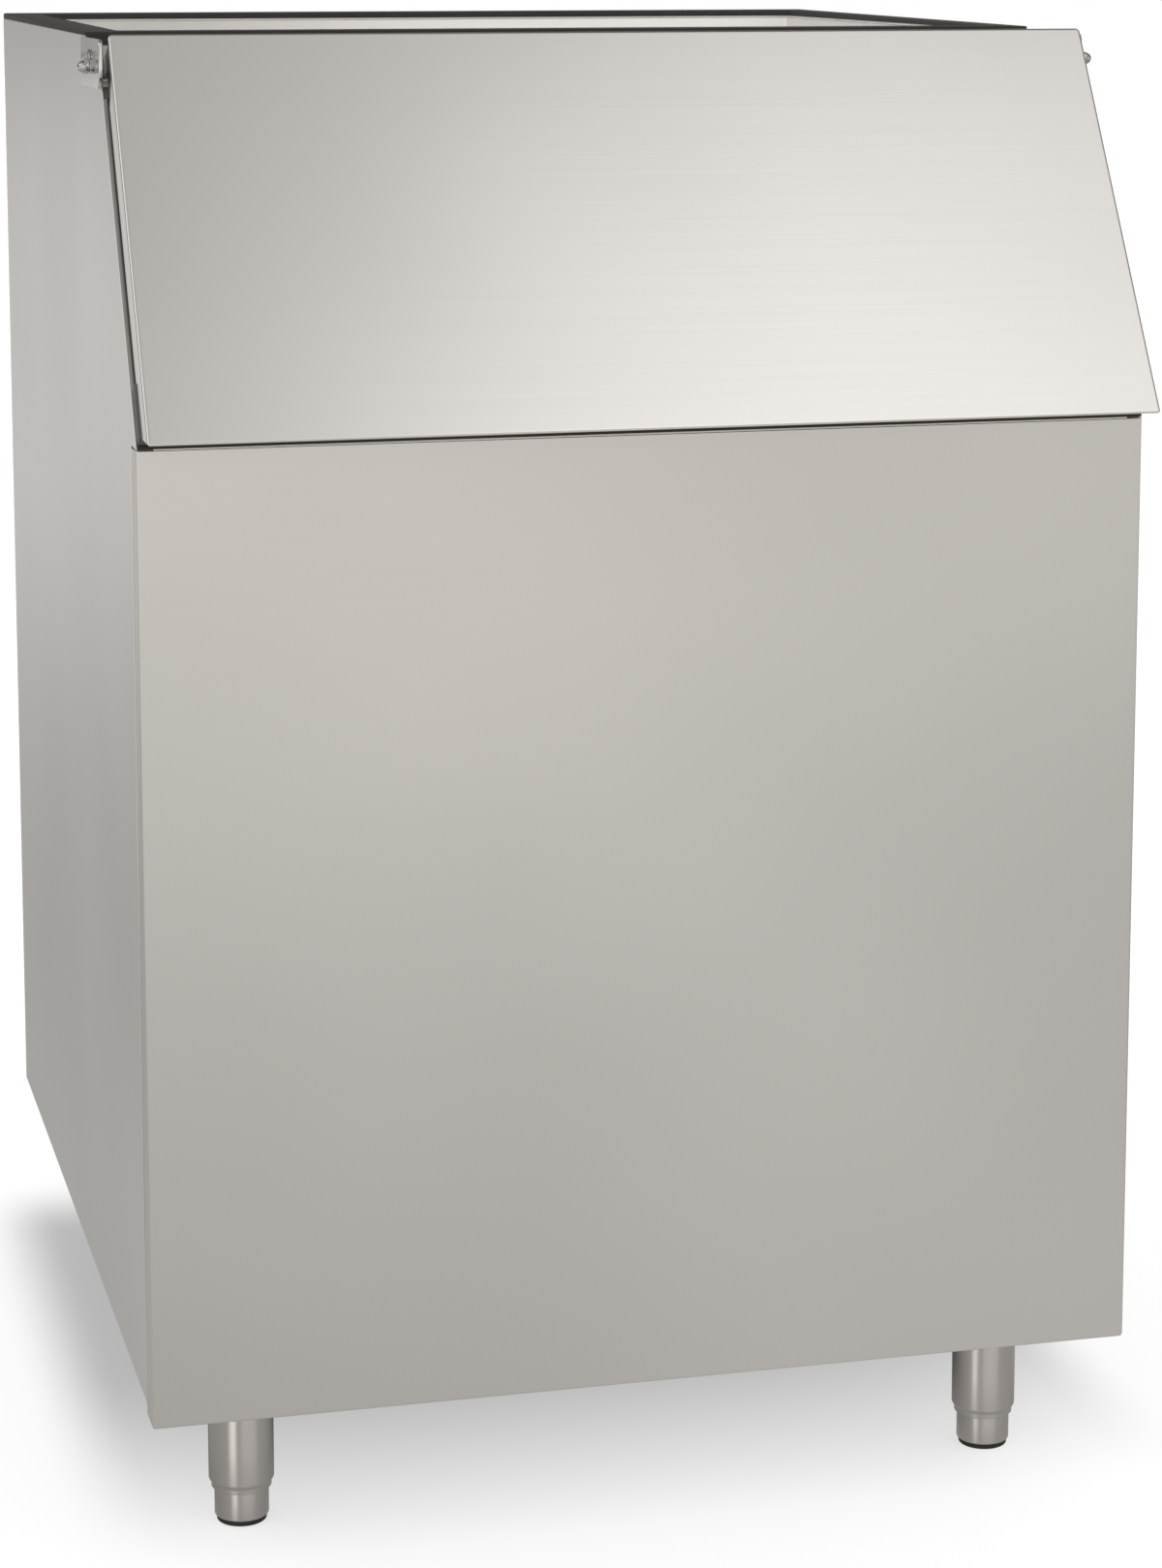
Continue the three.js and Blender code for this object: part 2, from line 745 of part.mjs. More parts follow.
function makeAcornNut() {
  const crown = boltAcross / 2;
  const rise = acornHeight - acornHexHeight;
  const dome = new THREE.SphereGeometry(crown, smallSides, smallSides / 2).rotateX(Math.PI / 2);
  dome.scale(1, 1, rise / crown).translate(0, 0, acornHexHeight);
  const depth = acornHexHeight + fitGap;
  const bore = turned([[0, -overrun], [boltHoleRadius, -overrun], [boltHoleRadius, depth], [0, depth]]);
  const below = turned([[0, -overrun], [boltAcross, -overrun], [boltAcross, 0], [0, 0]]);
  return cut(joined(hexagon(boltAcross, 0, acornHexHeight), dome), below, bore);
}

// The pin has a shoulder against the bracket, and a thread through it for the outer nuts.
function makePivotBolt() {
  const end = earInner - fitGap - pivotNutHeight - fitGap;
  const tip = bracketOuter + 2 * fitGap + lockNutHeight + acornHexHeight;
  return turned([
    [0, end],
    [pivotPinRadius, end],
    [pivotPinRadius, halfWidth],
    [boltRadius, halfWidth],
    [boltRadius, tip],
    [0, tip],
  ]);
}

function makePivotBush() {
  const bore = pivotPinRadius + fitGap;
  const nose = pivotProud - fitGap;
  return turned([
    [bore, earInner],
    [bushOuterRadius, earInner],
    [bushOuterRadius, earOuter + fitGap],
    [bushFlangeRadius, earOuter + fitGap],
    [bushFlangeRadius, inSide],
    [nose, inSide],
    [nose, halfWidth],
    [bore, halfWidth],
  ]);
}

// Lays a turned piece along X through a point of the side view, out of that side.
function laidOut(name, geometry, material, side, place, from = 0) {
  const mesh = piece(name, geometry, material);
  mesh.position.set(side * from, frontY + place.x, place.y);
  mesh.rotation.y = side * Math.PI / 2;
  return mesh;
}

for (const [side, word] of [[-1, 'left'], [1, 'right']]) {
  const nutSeat = bracketOuter + fitGap;
  const pivotNutSeat = earInner - fitGap - pivotNutHeight;
  const pivotNut = makeHexNut(pivotNutAcross, pivotNutHeight, pivotPinRadius + fitGap);
  const lockNut = makeHexNut(boltAcross, lockNutHeight, boltHoleRadius);
  bin.add(
    piece(`hinge_bracket_${word}`, makeBracket(side), materials.hardware),
    piece(`hinge_backing_${word}`, makeBackingPlate(side), materials.hardware),
    laidOut(`upper_bolt_${word}`, makeUpperBolt(), materials.hardware, side, upperBolt),
    laidOut(`rear_rivet_${word}`, makeRearRivet(), materials.hardware, side, rearRivet),
    laidOut(`lock_nut_${word}`, lockNut, materials.hardware, side, pivot, nutSeat),
    laidOut(`acorn_nut_${word}`, makeAcornNut(), materials.hardware, side, pivot,
      nutSeat + lockNutHeight + fitGap),
    laidOut(`pivot_bolt_${word}`, makePivotBolt(), materials.hardware, side, pivot),
    laidOut(`pivot_bush_${word}`, makePivotBush(), materials.nylon, side, pivot),
    laidOut(`pivot_nut_${word}`, pivotNut, materials.hardware, side, pivot, pivotNutSeat),
  );
}

// Legs: a plate with a spigot under the base pan, a tube, a screwed foot and its pad.
const plateBottom = baseHeight - fitGap - legPlateThickness;
const legInner = legRadius - legWall;

function makeLegPlate() {
  const half = legPlateSize / 2;
  const plate = block([-half, -half, plateBottom], [half, half, plateBottom + legPlateThickness]);
  const radius = legInner - fitGap;
  const bottom = plateBottom - legSpigot;
  const bore = radius - legWall;
  const middle = plateBottom + legPlateThickness / 2;
  const spigot = turned([[bore, bottom], [radius, bottom], [radius, middle], [bore, middle]], turnedSides);
  return joined(plate, spigot);
}

function makeLegTube() {
  const top = plateBottom - fitGap;
  const threadEnd = legThreadStart + legThreadHeight;
  const footBore = footRadius + 2 * fitGap;
  const screwBore = footStemRadius + fitGap;
  return turned([
    [footBore, legStart],
    [legEndRadius, legStart],
    [legRadius, legStart + legTaper],
    [legRadius, top],
    [legInner, top],
    [legInner, threadEnd],
    [screwBore, threadEnd],
    [screwBore, legThreadStart],
    [footBore, legThreadStart],
  ], turnedSides);
}

function makeFoot() {
  const bottom = padHeight + fitGap;
  return turned([
    [0, bottom],
    [footRadius - footChamfer, bottom],
    [footRadius, bottom + footChamfer],
    [footRadius, footTop],
    [footStemRadius, footTop],
    [footStemRadius, footStemTop],
    [0, footStemTop],
  ], turnedSides);
}

function makePad() {
  return turned([[0, 0], [padRadius, 0], [padRadius, padHeight], [0, padHeight]], turnedSides);
}

const legBack = cabinetDepth - legFromFront;
const legPlaces = [
  ['front_left', -1, legFromFront],
  ['front_right', 1, legFromFront],
  ['rear_left', -1, legBack],
  ['rear_right', 1, legBack],
];
for (const [word, side, depth] of legPlaces) {
  const leg = new THREE.Group();
  leg.position.set(side * (halfWidth - legFromSide), frontY + depth, 0);
  leg.add(
    piece(`leg_plate_${word}`, makeLegPlate(), materials.leg),
    piece(`leg_tube_${word}`, makeLegTube(), materials.leg),
    piece(`foot_${word}`, makeFoot(), materials.leg),
    piece(`foot_pad_${word}`, makePad(), materials.pad),
  );
  bin.add(leg);
}

// Drain: a flanged outlet that hangs through the tub floor, the foam and the base pan.
function makeDrain() {
  const seat = tubFloor + fitGap;
  const outlet = turned([
    [drainBoreRadius, drainOutletHeight],
    [drainOuterRadius, drainOutletHeight],
    [drainOuterRadius, seat],
    [drainFlangeRadius, seat],
    [drainFlangeRadius, seat + drainFlangeHeight],
    [drainBoreRadius, seat + drainFlangeHeight],
  ], turnedSides);
  return outlet.translate(0, frontY + drainPlace.x, 0);
}

bin.add(piece('drain_outlet', makeDrain(), materials.panel));

export default bin;
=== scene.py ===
"""Looks of a stainless ice storage bin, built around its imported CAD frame.

Lengths are in millimetres until a mesh is written, which is in metres.
+Z is up, the front faces -Y, and the origin is on the floor under the middle.
"""

import json
import math

import bmesh
import bpy
import numpy as np
from mathutils import Matrix, Vector

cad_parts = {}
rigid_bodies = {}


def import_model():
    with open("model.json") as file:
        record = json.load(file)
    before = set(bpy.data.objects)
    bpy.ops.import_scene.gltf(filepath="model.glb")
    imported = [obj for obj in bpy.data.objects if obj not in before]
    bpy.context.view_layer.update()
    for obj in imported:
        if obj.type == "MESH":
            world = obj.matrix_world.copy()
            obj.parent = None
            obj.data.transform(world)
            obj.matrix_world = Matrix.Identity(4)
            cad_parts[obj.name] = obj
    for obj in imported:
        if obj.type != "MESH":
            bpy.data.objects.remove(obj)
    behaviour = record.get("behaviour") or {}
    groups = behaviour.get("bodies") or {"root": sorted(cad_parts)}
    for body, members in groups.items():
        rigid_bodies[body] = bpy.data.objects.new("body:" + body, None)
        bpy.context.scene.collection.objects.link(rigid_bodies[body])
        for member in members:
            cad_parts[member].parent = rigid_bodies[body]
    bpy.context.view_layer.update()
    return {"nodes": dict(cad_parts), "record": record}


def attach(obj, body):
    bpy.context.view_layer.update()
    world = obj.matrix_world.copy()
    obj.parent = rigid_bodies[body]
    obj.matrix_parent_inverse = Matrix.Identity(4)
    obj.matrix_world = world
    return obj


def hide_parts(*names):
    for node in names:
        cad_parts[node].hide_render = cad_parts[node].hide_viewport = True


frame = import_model()

MM = 0.001
CABINET = "cabinet"
DOOR = "door"

# Sizes shared with the CAD part
HALF_WIDTH = 381.0
FRONT_Y = -410.9
DEPTH = 864.0
RIM_HEIGHT = 1125.0
RIM_FRONT = 254.0
LEDGE_HEIGHT = 1090.0
SLANT_FOOT = 840.0
SLANT = math.atan2(RIM_FRONT - 96.0, LEDGE_HEIGHT - SLANT_FOOT)
SLANT_LENGTH = (LEDGE_HEIGHT - SLANT_FOOT) / math.cos(SLANT)
SHEET = 1.0
GAP = 0.3
SMOOTH_ANGLE = 40.0


def side_point(depth, height):
    """A point of the side view: Y from the depth behind the front panel, and Z."""
    return FRONT_Y + depth, height


def slant_point(along, out):
    """Y, Z of a point up the slanted edge by `along` and square out from it by `out`."""
    depth = along * math.sin(SLANT) - out * math.cos(SLANT)
    height = SLANT_FOOT + along * math.cos(SLANT) + out * math.sin(SLANT)
    return side_point(depth, height)


# Meshes

def make_object(name, vertices, faces, material):
    """A mesh object at the origin from millimetre vertices, smooth below SMOOTH_ANGLE."""
    mesh = bpy.data.meshes.new(name)
    mesh.from_pydata([tuple(v) for v in np.asarray(vertices) * MM], [], faces)
    mesh.validate()
    shape = bmesh.new()
    shape.from_mesh(mesh)
    bmesh.ops.recalc_face_normals(shape, faces=shape.faces)
    shape.to_mesh(mesh)
    shape.free()
    mesh.materials.append(material)
    item = bpy.data.objects.new(name, mesh)
    bpy.context.scene.collection.objects.link(item)
    mesh.shade_smooth()
    mesh.set_sharp_from_angle(angle=math.radians(SMOOTH_ANGLE))
    return item


def loft(rings, closed=False):
    """Vertices and quads between rings of equal length, with a face over each end: point i
    of ring r is vertex r * count + i, and its quad joins it to the next point and ring.
    `closed` joins the last ring to the first in place of the ends."""
    rings = np.stack(rings)
    here = np.arange(rings.shape[0] * rings.shape[1]).reshape(rings.shape[:2])
    above = np.roll(here, -1, axis=0)
    quads = np.stack([here, np.roll(here, -1, axis=1), np.roll(above, -1, axis=1), above], axis=2)
    if closed:
        faces = quads.reshape(-1, 4).tolist()
    else:
        faces = quads[:-1].reshape(-1, 4).tolist()
        faces += [here[0, ::-1].tolist(), here[-1].tolist()]
    return rings.reshape(-1, 3), faces


def merge(*parts):
    """One vertex list and face list from several."""
    vertices, faces, offset = [], [], 0
    for some_vertices, some_faces in parts:
        vertices.append(np.asarray(some_vertices, float))
        faces += [tuple(i + offset for i in face) for face in some_faces]
        offset += len(some_vertices)
    return np.concatenate(vertices), faces


def rounded_rect(left, right, low, high, radius, corner_steps=6, side_steps=1):
    """Points of a rectangle with round corners, anticlockwise from its lower right side:
    corner centre plus radius * (cos t, sin t), and `side_steps` points along each side."""
    radius = np.broadcast_to(np.asarray(radius, float), (4,))
    centers = [
        (right - radius[0], low + radius[0]),
        (right - radius[1], high - radius[1]),
        (left + radius[2], high - radius[2]),
        (left + radius[3], low + radius[3]),
    ]
    corners = []
    for k, center in enumerate(centers):
        t = -math.pi / 2 + k * math.pi / 2 + math.pi / 2 * np.arange(corner_steps + 1) / corner_steps
        corners.append(center + radius[k] * np.column_stack([np.cos(t), np.sin(t)]))
    share = np.arange(1, side_steps)[:, None] / side_steps
    points = []
    for here, after in zip(corners, corners[1:] + corners[:1]):
        points += [here, here[-1] + (after[0] - here[-1]) * share]
    return np.concatenate(points)


def offset_outline(points, distance):
    """Moves each edge of an anticlockwise outline outwards: the crossing of the moved edges."""
    points = np.asarray(points, float)
    ahead = np.roll(points, -1, axis=0) - points
    ahead /= np.linalg.norm(ahead, axis=1)[:, None]
    normals = np.stack([ahead[:, 1], -ahead[:, 0]], axis=1)
    before = np.roll(normals, 1, axis=0)
    middle = normals + before
    scale = 2.0 / np.sum(middle * middle, axis=1)
    return points + distance * middle * scale[:, None]


def rounded_corners(points, radii, steps=5):
    """Rounds the corners of an outline with arcs tangent to both edges: centre plus start
    cos t plus the start turned square sin t, where the start is as seen from the centre."""
    points = np.asarray(points, float)
    result = []
    for before, here, after, radius in zip(
            np.roll(points, 1, axis=0), points, np.roll(points, -1, axis=0), radii):
        if radius <= 0:
            result.append(here[None])
            continue
        back = before - here
        front = after - here
        back /= np.linalg.norm(back)
        front /= np.linalg.norm(front)
        half = math.acos(np.clip(np.dot(back, front), -1, 1)) / 2
        reach = radius / math.tan(half)
        middle = back + front
        middle /= np.linalg.norm(middle)
        center = here + middle * radius / math.sin(half)
        start = here + back * reach - center
        end = here + front * reach - center
        square = np.array([-start[1], start[0]])
        turn = math.atan2(np.dot(square, end), np.dot(start, end))
        t = turn * np.arange(steps + 1)[:, None] / steps
        result.append(center + start * np.cos(t) + square * np.sin(t))
    return np.concatenate(result)


def plate_along_x(outline, low_x, high_x, edge=0.35):
    """An outline in (Y, Z) carried along X, with each rim eased by `edge` at 45 degrees."""
    inner = offset_outline(outline, -edge)
    rows = [(low_x, inner), (low_x + edge, outline), (high_x - edge, outline), (high_x, inner)]
    return loft([np.column_stack([np.full(len(points), x), points]) for x, points in rows])


def plate_on_side(outline, side, inner_x, outer_x, edge):
    """A plate between two distances from the middle, on the left (-1) or the right (1)."""
    return plate_along_x(outline, *sorted((side * inner_x, side * outer_x)), edge)


def slanted_rect(start, end, low, high):
    """Corners of a rectangle that lies along the slant."""
    corners = ((start, low), (end, low), (end, high), (start, high))
    return [slant_point(along, out) for along, out in corners]


def turned(profile, sides=72, angle_radius=None):
    """A profile of (radius, height) rows turned about +Z: (r cos t, r sin t, h).
    `angle_radius(t)` may limit the radius at an angle, as the flats of a hexagon do."""
    t = np.arange(sides) * 2 * math.pi / sides
    limit = np.full(sides, np.inf) if angle_radius is None else angle_radius(t)
    rings = []
    for radius, height in profile:
        r = np.minimum(radius, limit)
        rings.append(np.column_stack([r * np.cos(t), r * np.sin(t), np.full(sides, height)]))
    return loft(rings)


def tube_turned(profile, sides=72):
    """A closed profile of (radius, height) rows turned about +Z, with a hole through it."""
    t = np.arange(sides) * 2 * math.pi / sides
    rings = [np.column_stack([r * np.cos(t), r * np.sin(t), np.full(sides, h)]) for r, h in profile]
    return loft(rings, closed=True)


def arc(center_r, center_h, radius, start, end, steps):
    """Rows of an arc in (radius, height): centre plus radius * (cos t, sin t), t in degrees."""
    t = np.radians(np.linspace(start, end, steps + 1))
    return [(center_r + radius * math.cos(a), center_h + radius * math.sin(a)) for a in t]


def hexagon_radius(across):
    """Radius of a hexagon at an angle: (across / 2) / cos(t folded into +-30 degrees)."""
    def radius(t):
        folded = np.mod(t + math.pi / 6, math.pi / 3) - math.pi / 6
        return across / 2 / np.cos(folded)
    return radius


def moved(part, matrix):
    """The part with its vertices multiplied by a 4 x 4 matrix."""
    vertices, faces = part
    full = np.column_stack([vertices, np.ones(len(vertices))])
    return (full @ np.array(matrix).T)[:, :3], faces


def along_x(part, side, x, y, z):
    """Lays a turned part along X, pointing out of the given side."""
    turn = Matrix.Rotation(side * math.pi / 2, 4, "Y")
    return moved(part, Matrix.Translation((side * x, y, z)) @ turn)


# Materials

def new_material(name):
    """A material with its nodes, its links and its shader."""
    material = bpy.data.materials.new(name)
    material.use_nodes = True
    nodes = material.node_tree.nodes
    return material, nodes, material.node_tree.links, nodes["Principled BSDF"]


def object_noise(nodes, links, stretch, scale, detail=2.0):
    """Noise in object coordinates, stretched along an axis as brushing is."""
    where = nodes.new("ShaderNodeTexCoord")
    mapping = nodes.new("ShaderNodeMapping")
    mapping.inputs["Scale"].default_value = stretch
    noise = nodes.new("ShaderNodeTexNoise")
    noise.inputs["Scale"].default_value = scale
    noise.inputs["Detail"].default_value = detail
    links.new(where.outputs["Object"], mapping.inputs["Vector"])
    links.new(mapping.outputs["Vector"], noise.inputs["Vector"])
    return noise.outputs["Fac"]


def ramp(nodes, links, source, low, high, start=0.3, end=0.7):
    """Maps a grey value onto a run between two colours or levels."""
    colors = nodes.new("ShaderNodeValToRGB")
    colors.color_ramp.elements[0].position = start
    colors.color_ramp.elements[1].position = end
    colors.color_ramp.elements[0].color = (*low, 1)
    colors.color_ramp.elements[1].color = (*high, 1)
    links.new(source, colors.inputs["Fac"])
    return colors.outputs["Color"]


def bump(nodes, links, height, strength, distance):
    """The normal over a height field; the distance is in metres."""
    node = nodes.new("ShaderNodeBump")
    node.inputs["Strength"].default_value = strength
    node.inputs["Distance"].default_value = distance
    links.new(height, node.inputs["Height"])
    return node.outputs["Normal"]


def mottled(nodes, links, noise, color, darker, lighter):
    """A colour that noise carries between two shares of it, kept at 1 or below."""
    low = tuple(c * darker for c in color)
    high = tuple(min(c * lighter, 1.0) for c in color)
    return ramp(nodes, links, noise, low, high)


BRUSH_HEIGHT = 0.025
BRUSH_ROUGHNESS = 0.035


def steel(name, color, roughness, stretch, grain, metallic=1.0):
    """Brushed stainless steel: fine grain in roughness and height, faint broad clouds in colour."""
    material, nodes, links, shader = new_material(name)
    shader.inputs["Metallic"].default_value = metallic
    clouds = object_noise(nodes, links, EVEN, 3.0, 1.5)
    links.new(mottled(nodes, links, clouds, color, 0.965, 1.03), shader.inputs["Base Color"])
    brush = object_noise(nodes, links, stretch, 1.0, 3.0)
    rough_low = (roughness - BRUSH_ROUGHNESS * grain,) * 3
    rough_high = (roughness + BRUSH_ROUGHNESS * grain,) * 3
    links.new(ramp(nodes, links, brush, rough_low, rough_high), shader.inputs["Roughness"])
    links.new(bump(nodes, links, brush, BRUSH_HEIGHT * grain, 0.0002), shader.inputs["Normal"])
    return material


def turned_steel(name, color, roughness, spread):
    """Polished tube: fine grooves round it stretch the reflections up and down."""
    material, nodes, links, shader = new_material(name)
    shader.inputs["Metallic"].default_value = 1.0
    shader.inputs["Roughness"].default_value = roughness
    shader.inputs["Anisotropic"].default_value = spread
    shader.inputs["Anisotropic Rotation"].default_value = 0.25
    tangent = nodes.new("ShaderNodeTangent")
    tangent.direction_type = "RADIAL"
    tangent.axis = "Z"
    links.new(tangent.outputs["Tangent"], shader.inputs["Tangent"])
    clouds = object_noise(nodes, links, EVEN, 12.0, 2.0)
    links.new(mottled(nodes, links, clouds, color, 0.97, 1.03), shader.inputs["Base Color"])
    return material


def plain(name, color, roughness, spread=0.12, scale=60.0, height=0.1):
    """Rubber, plastic or foam: a matt colour with a faint mottle and grain."""
    material, nodes, links, shader = new_material(name)
    noise = object_noise(nodes, links, EVEN, scale, 4.0)
    links.new(mottled(nodes, links, noise, color, 1 - spread, 1 + spread), shader.inputs["Base Color"])
    shader.inputs["Roughness"].default_value = roughness
    links.new(bump(nodes, links, noise, height, 0.0004), shader.inputs["Normal"])
    return material


# How noise is stretched: not at all, as brushing across or upward is, or as on small fasteners
EVEN = (1.0, 1.0, 1.0)
ACROSS = (2.0, 2.0, 900.0)
UPWARD = (900.0, 900.0, 2.0)
FINE = (40.0, 40.0, 40.0)
cabinet_steel = steel("cabinet_brushed", (0.82, 0.782, 0.73), 0.33, ACROSS, 0.5)
side_steel = steel("side_brushed", (0.925, 0.89, 0.845), 0.34, UPWARD, 0.5)
door_steel = steel("door_brushed", (0.83, 0.805, 0.775), 0.2, ACROSS, 0.3)
tub_steel = steel("tub_satin", (0.95, 0.925, 0.89), 0.45, ACROSS, 0.5, 0.3)
leg_steel = turned_steel("leg_polished", (0.56, 0.525, 0.49), 0.3, 0.8)
hardware = steel("hardware_bright", (0.80, 0.79, 0.77), 0.14, FINE, 0.6)
nut_steel = steel("nut_polished", (0.58, 0.57, 0.55), 0.09, FINE, 0.5)
# Painted shade: the door's hinge ears are made dark grey to stand for the shadowed gap behind the
# door's flange at the hinge.
ear_shade_steel = steel("ear_painted_shade", (0.30, 0.29, 0.28), 0.3, FINE, 0.5)
gasket_rubber = plain("gasket_rubber", (0.032, 0.029, 0.026), 0.55)
seal_rubber = plain("seal_rubber", (0.17, 0.165, 0.15), 0.6)
# Painted shade: near-black for the strips that stand in the shadowed gaps under and beside the door
# and under the gasket.
painted_shade_strips = plain("painted_shade_strips", (0.035, 0.032, 0.028), 0.65)
pad_rubber = plain("pad_rubber", (0.02, 0.018, 0.016), 0.7)
foam = plain("rigid_foam", (0.34, 0.32, 0.27), 0.95, 0.1, 220.0, 0.5)
white_plastic = plain("white_plastic", (0.72, 0.71, 0.68), 0.38, 0.02, 30.0, 0.04)
nylon = plain("nylon", (0.76, 0.74, 0.69), 0.5, 0.03, 80.0, 0.05)

SLOTS = {
    "cabinet_steel": cabinet_steel,
    "door_steel": door_steel,
    "tub_steel": tub_steel,
    "hardware_steel": hardware,
    "leg_steel": leg_steel,
    "black_gasket": gasket_rubber,
    "grey_seal": seal_rubber,
    "black_pad": pad_rubber,
    "foam": foam,
    "white_plastic": white_plastic,
    "nylon": nylon,
}
for row in frame["record"]["subparts"]:
    node = frame["nodes"][row["node"]]
    # The door's hinge ears take the dark steel that paints the shade at the hinge.
    finish = ear_shade_steel if row["node"].startswith("door_ear") else SLOTS[row["material_slot"]]
    for slot in node.material_slots:
        slot.material = finish


def add(name, part, body, material, replaced=()):
    """Makes a piece, lets it ride on its body and hides the nodes it stands for."""
    item = make_object(name, *part, material)
    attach(item, body)
    if replaced:
        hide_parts(*replaced)


# Door skin: a pan with bend radii, in slanted coordinates

DOOR_HALF = 378.5
DOOR_START = -15.7
DOOR_END = SLANT_LENGTH + 21.0
DOOR_BACK = 14.0
DOOR_FACE = 40.0
DOOR_BEND = 1.8
DOOR_CORNERS = (2.5, 3.5, 3.5, 2.5)
DOOR_SLIDE_ENDS = (DOOR_START + 10.0, DOOR_START + 40.0)
DOOR_NOTCH = DOOR_END - 40.0
DOOR_NOTCH_FLANGE = 4.0
FLAT_STEP = 0.8
SHEET_EDGE = 0.3


def slanted_rows(points, out):
    """Points of the door's plane (x, along) at a height out of it, as X, Y, Z. The lower
    edge slides up the slant by (face - out) * tan(slant), so the lower flange lies level,
    and the side flanges are cut back beside the pivots."""
    out = np.broadcast_to(out, (len(points),))
    slide_full, slide_none = DOOR_SLIDE_ENDS
    share = np.clip((slide_none - points[:, 1]) / (slide_none - slide_full), 0, 1)
    along = points[:, 1] + share * (DOOR_FACE - out) * math.tan(SLANT)
    notched = (np.abs(points[:, 0]) > DOOR_HALF - 1.5) & (points[:, 1] > DOOR_NOTCH)
    out = np.where(notched, np.maximum(out, DOOR_FACE - DOOR_NOTCH_FLANGE), out)
    return np.column_stack([points[:, 0], *slant_point(along, out)])


def door_outline(inset):
    """The door's rectangle (x, along), drawn in by `inset`."""
    corners = [max(r - inset, 0.2) for r in DOOR_CORNERS]
    low = DOOR_START + inset / math.cos(SLANT)
    return rounded_rect(-DOOR_HALF + inset, DOOR_HALF - inset, low, DOOR_END - inset, corners, 8, 30)


def pan_insets(bend):
    """Inset and depth of a quarter bend: r (1 - sin t) and r (1 - cos t), after a flat step."""
    rows = [(bend + FLAT_STEP, 0.0)]
    for t in np.radians(np.linspace(0, 90, 8)):
        rows.append((bend * (1 - math.sin(t)), bend * (1 - math.cos(t))))
    return rows


def pan_rows(bend, depth):
    """Inset and depth of a folded sheet: over the outer bend, down its flange, round the
    flange's edge, and back up to the inside of the bend, one sheet's thickness in."""
    rows = pan_insets(bend)
    rows += [(0, depth - SHEET_EDGE), (SHEET_EDGE, depth)]
    rows += [(SHEET - SHEET_EDGE, depth), (SHEET, depth - SHEET_EDGE)]
    return rows + [(SHEET + i, SHEET + d) for i, d in reversed(pan_insets(bend - SHEET))]


def make_door_skin():
    """The folded sheet over the door's foam and inner panel."""
    rows = pan_rows(DOOR_BEND, DOOR_FACE - DOOR_BACK)
    return loft([slanted_rows(door_outline(inset), DOOR_FACE - depth) for inset, depth in rows])


add("door_skin_formed", make_door_skin(), DOOR, door_steel, ["door_skin"])


# Front panel: a pan with bend radii, and a flange that lies back on the slant

PANEL_LOW = 115.0
PANEL_RETURN = 28.0
PANEL_BEND = 1.6
PANEL_LIP = 2.0
PANEL_CORNER = 2.5
PANEL_FLANGE = 13.7
PANEL_FLANGE_HALF = HALF_WIDTH - 12.3
FLANGE_EDGE = 0.1


def panel_rows(inset, depth):
    """Outline of the panel (x, height) at a depth; the top edge goes no deeper than its lip,
    so each long side gets one more point, 1 mm under its top."""
    low, high = max(PANEL_CORNER - inset, 0.2), 0.3
    points = rounded_rect(
        -HALF_WIDTH + inset, HALF_WIDTH - inset, PANEL_LOW + inset, SLANT_FOOT - min(inset, SHEET),
        [low, high, high, low], 6)
    steps = []
    for here, after in zip(points, np.roll(points, -1, axis=0)):
        steps.append(here)
        if abs(after[1] - here[1]) > (SLANT_FOOT - PANEL_LOW) / 2:
            near_top = here if here[1] > after[1] else after
            steps.append(np.array([near_top[0], near_top[1] - 1.0]))
    points = np.array(steps)
    top = points[:, 1] > SLANT_FOOT - SHEET - 0.8
    depth = np.where(top, min(depth, PANEL_LIP), depth)
    return np.column_stack([points[:, 0], FRONT_Y + depth, points[:, 1]])


def make_front_panel():
    """The folded sheet, and a flange that lies back on the slant from its upper edge."""
    pan = loft([panel_rows(inset, depth) for inset, depth in pan_rows(PANEL_BEND, PANEL_RETURN)])
    flange = [
        side_point(0.5, SLANT_FOOT - 1.2),
        slant_point(PANEL_FLANGE, -SHEET),
        slant_point(PANEL_FLANGE, -FLANGE_EDGE),
        slant_point(0.5, -FLANGE_EDGE),
    ]
    return merge(pan, plate_along_x(flange, -PANEL_FLANGE_HALF, PANEL_FLANGE_HALF, FLANGE_EDGE))


panel = make_front_panel()
add("front_panel_formed", panel, CABINET, cabinet_steel, ["front_panel"])


# Side panels: a sheet with eased corners, and a flange turned in along the slanted edge

SIDE_LOW = 124.5
SIDE_BACK = DEPTH - SHEET - GAP
SIDE_SHOULDER = RIM_HEIGHT - 12.0
SIDE_FLANGE = 12.0
SIDE_FLANGE_END = SLANT_LENGTH - 10.8


def make_side_panel(side):
    """The sheet up to the rim with its notch over the ledge, and its flange on the slant."""
    nose = (SIDE_SHOULDER - SLANT_FOOT) / math.cos(SLANT)
    outline = rounded_corners([
        side_point(PANEL_RETURN + GAP, SIDE_LOW),
        side_point(SIDE_BACK, SIDE_LOW),
        side_point(SIDE_BACK, RIM_HEIGHT),
        side_point(RIM_FRONT, RIM_HEIGHT),
        side_point(RIM_FRONT, SIDE_SHOULDER),
        slant_point(nose, 0),
        slant_point(GAP / math.cos(SLANT), 0),
        side_point(PANEL_RETURN + GAP, SLANT_FOOT + GAP),
    ], [1.0, 1.0, 1.0, 1.0, 1.5, 2.0, 0.0, 0.0])
    sheet = plate_on_side(outline, side, HALF_WIDTH - SHEET, HALF_WIDTH, SHEET_EDGE)
    flange = slanted_rect(2.0, SIDE_FLANGE_END, -SHEET, -FLANGE_EDGE)
    inner_x, outer_x = HALF_WIDTH - SIDE_FLANGE, HALF_WIDTH - 0.5
    return merge(sheet, plate_on_side(flange, side, inner_x, outer_x, FLANGE_EDGE))


# Top gasket: a band with round shoulders, thinner along the front

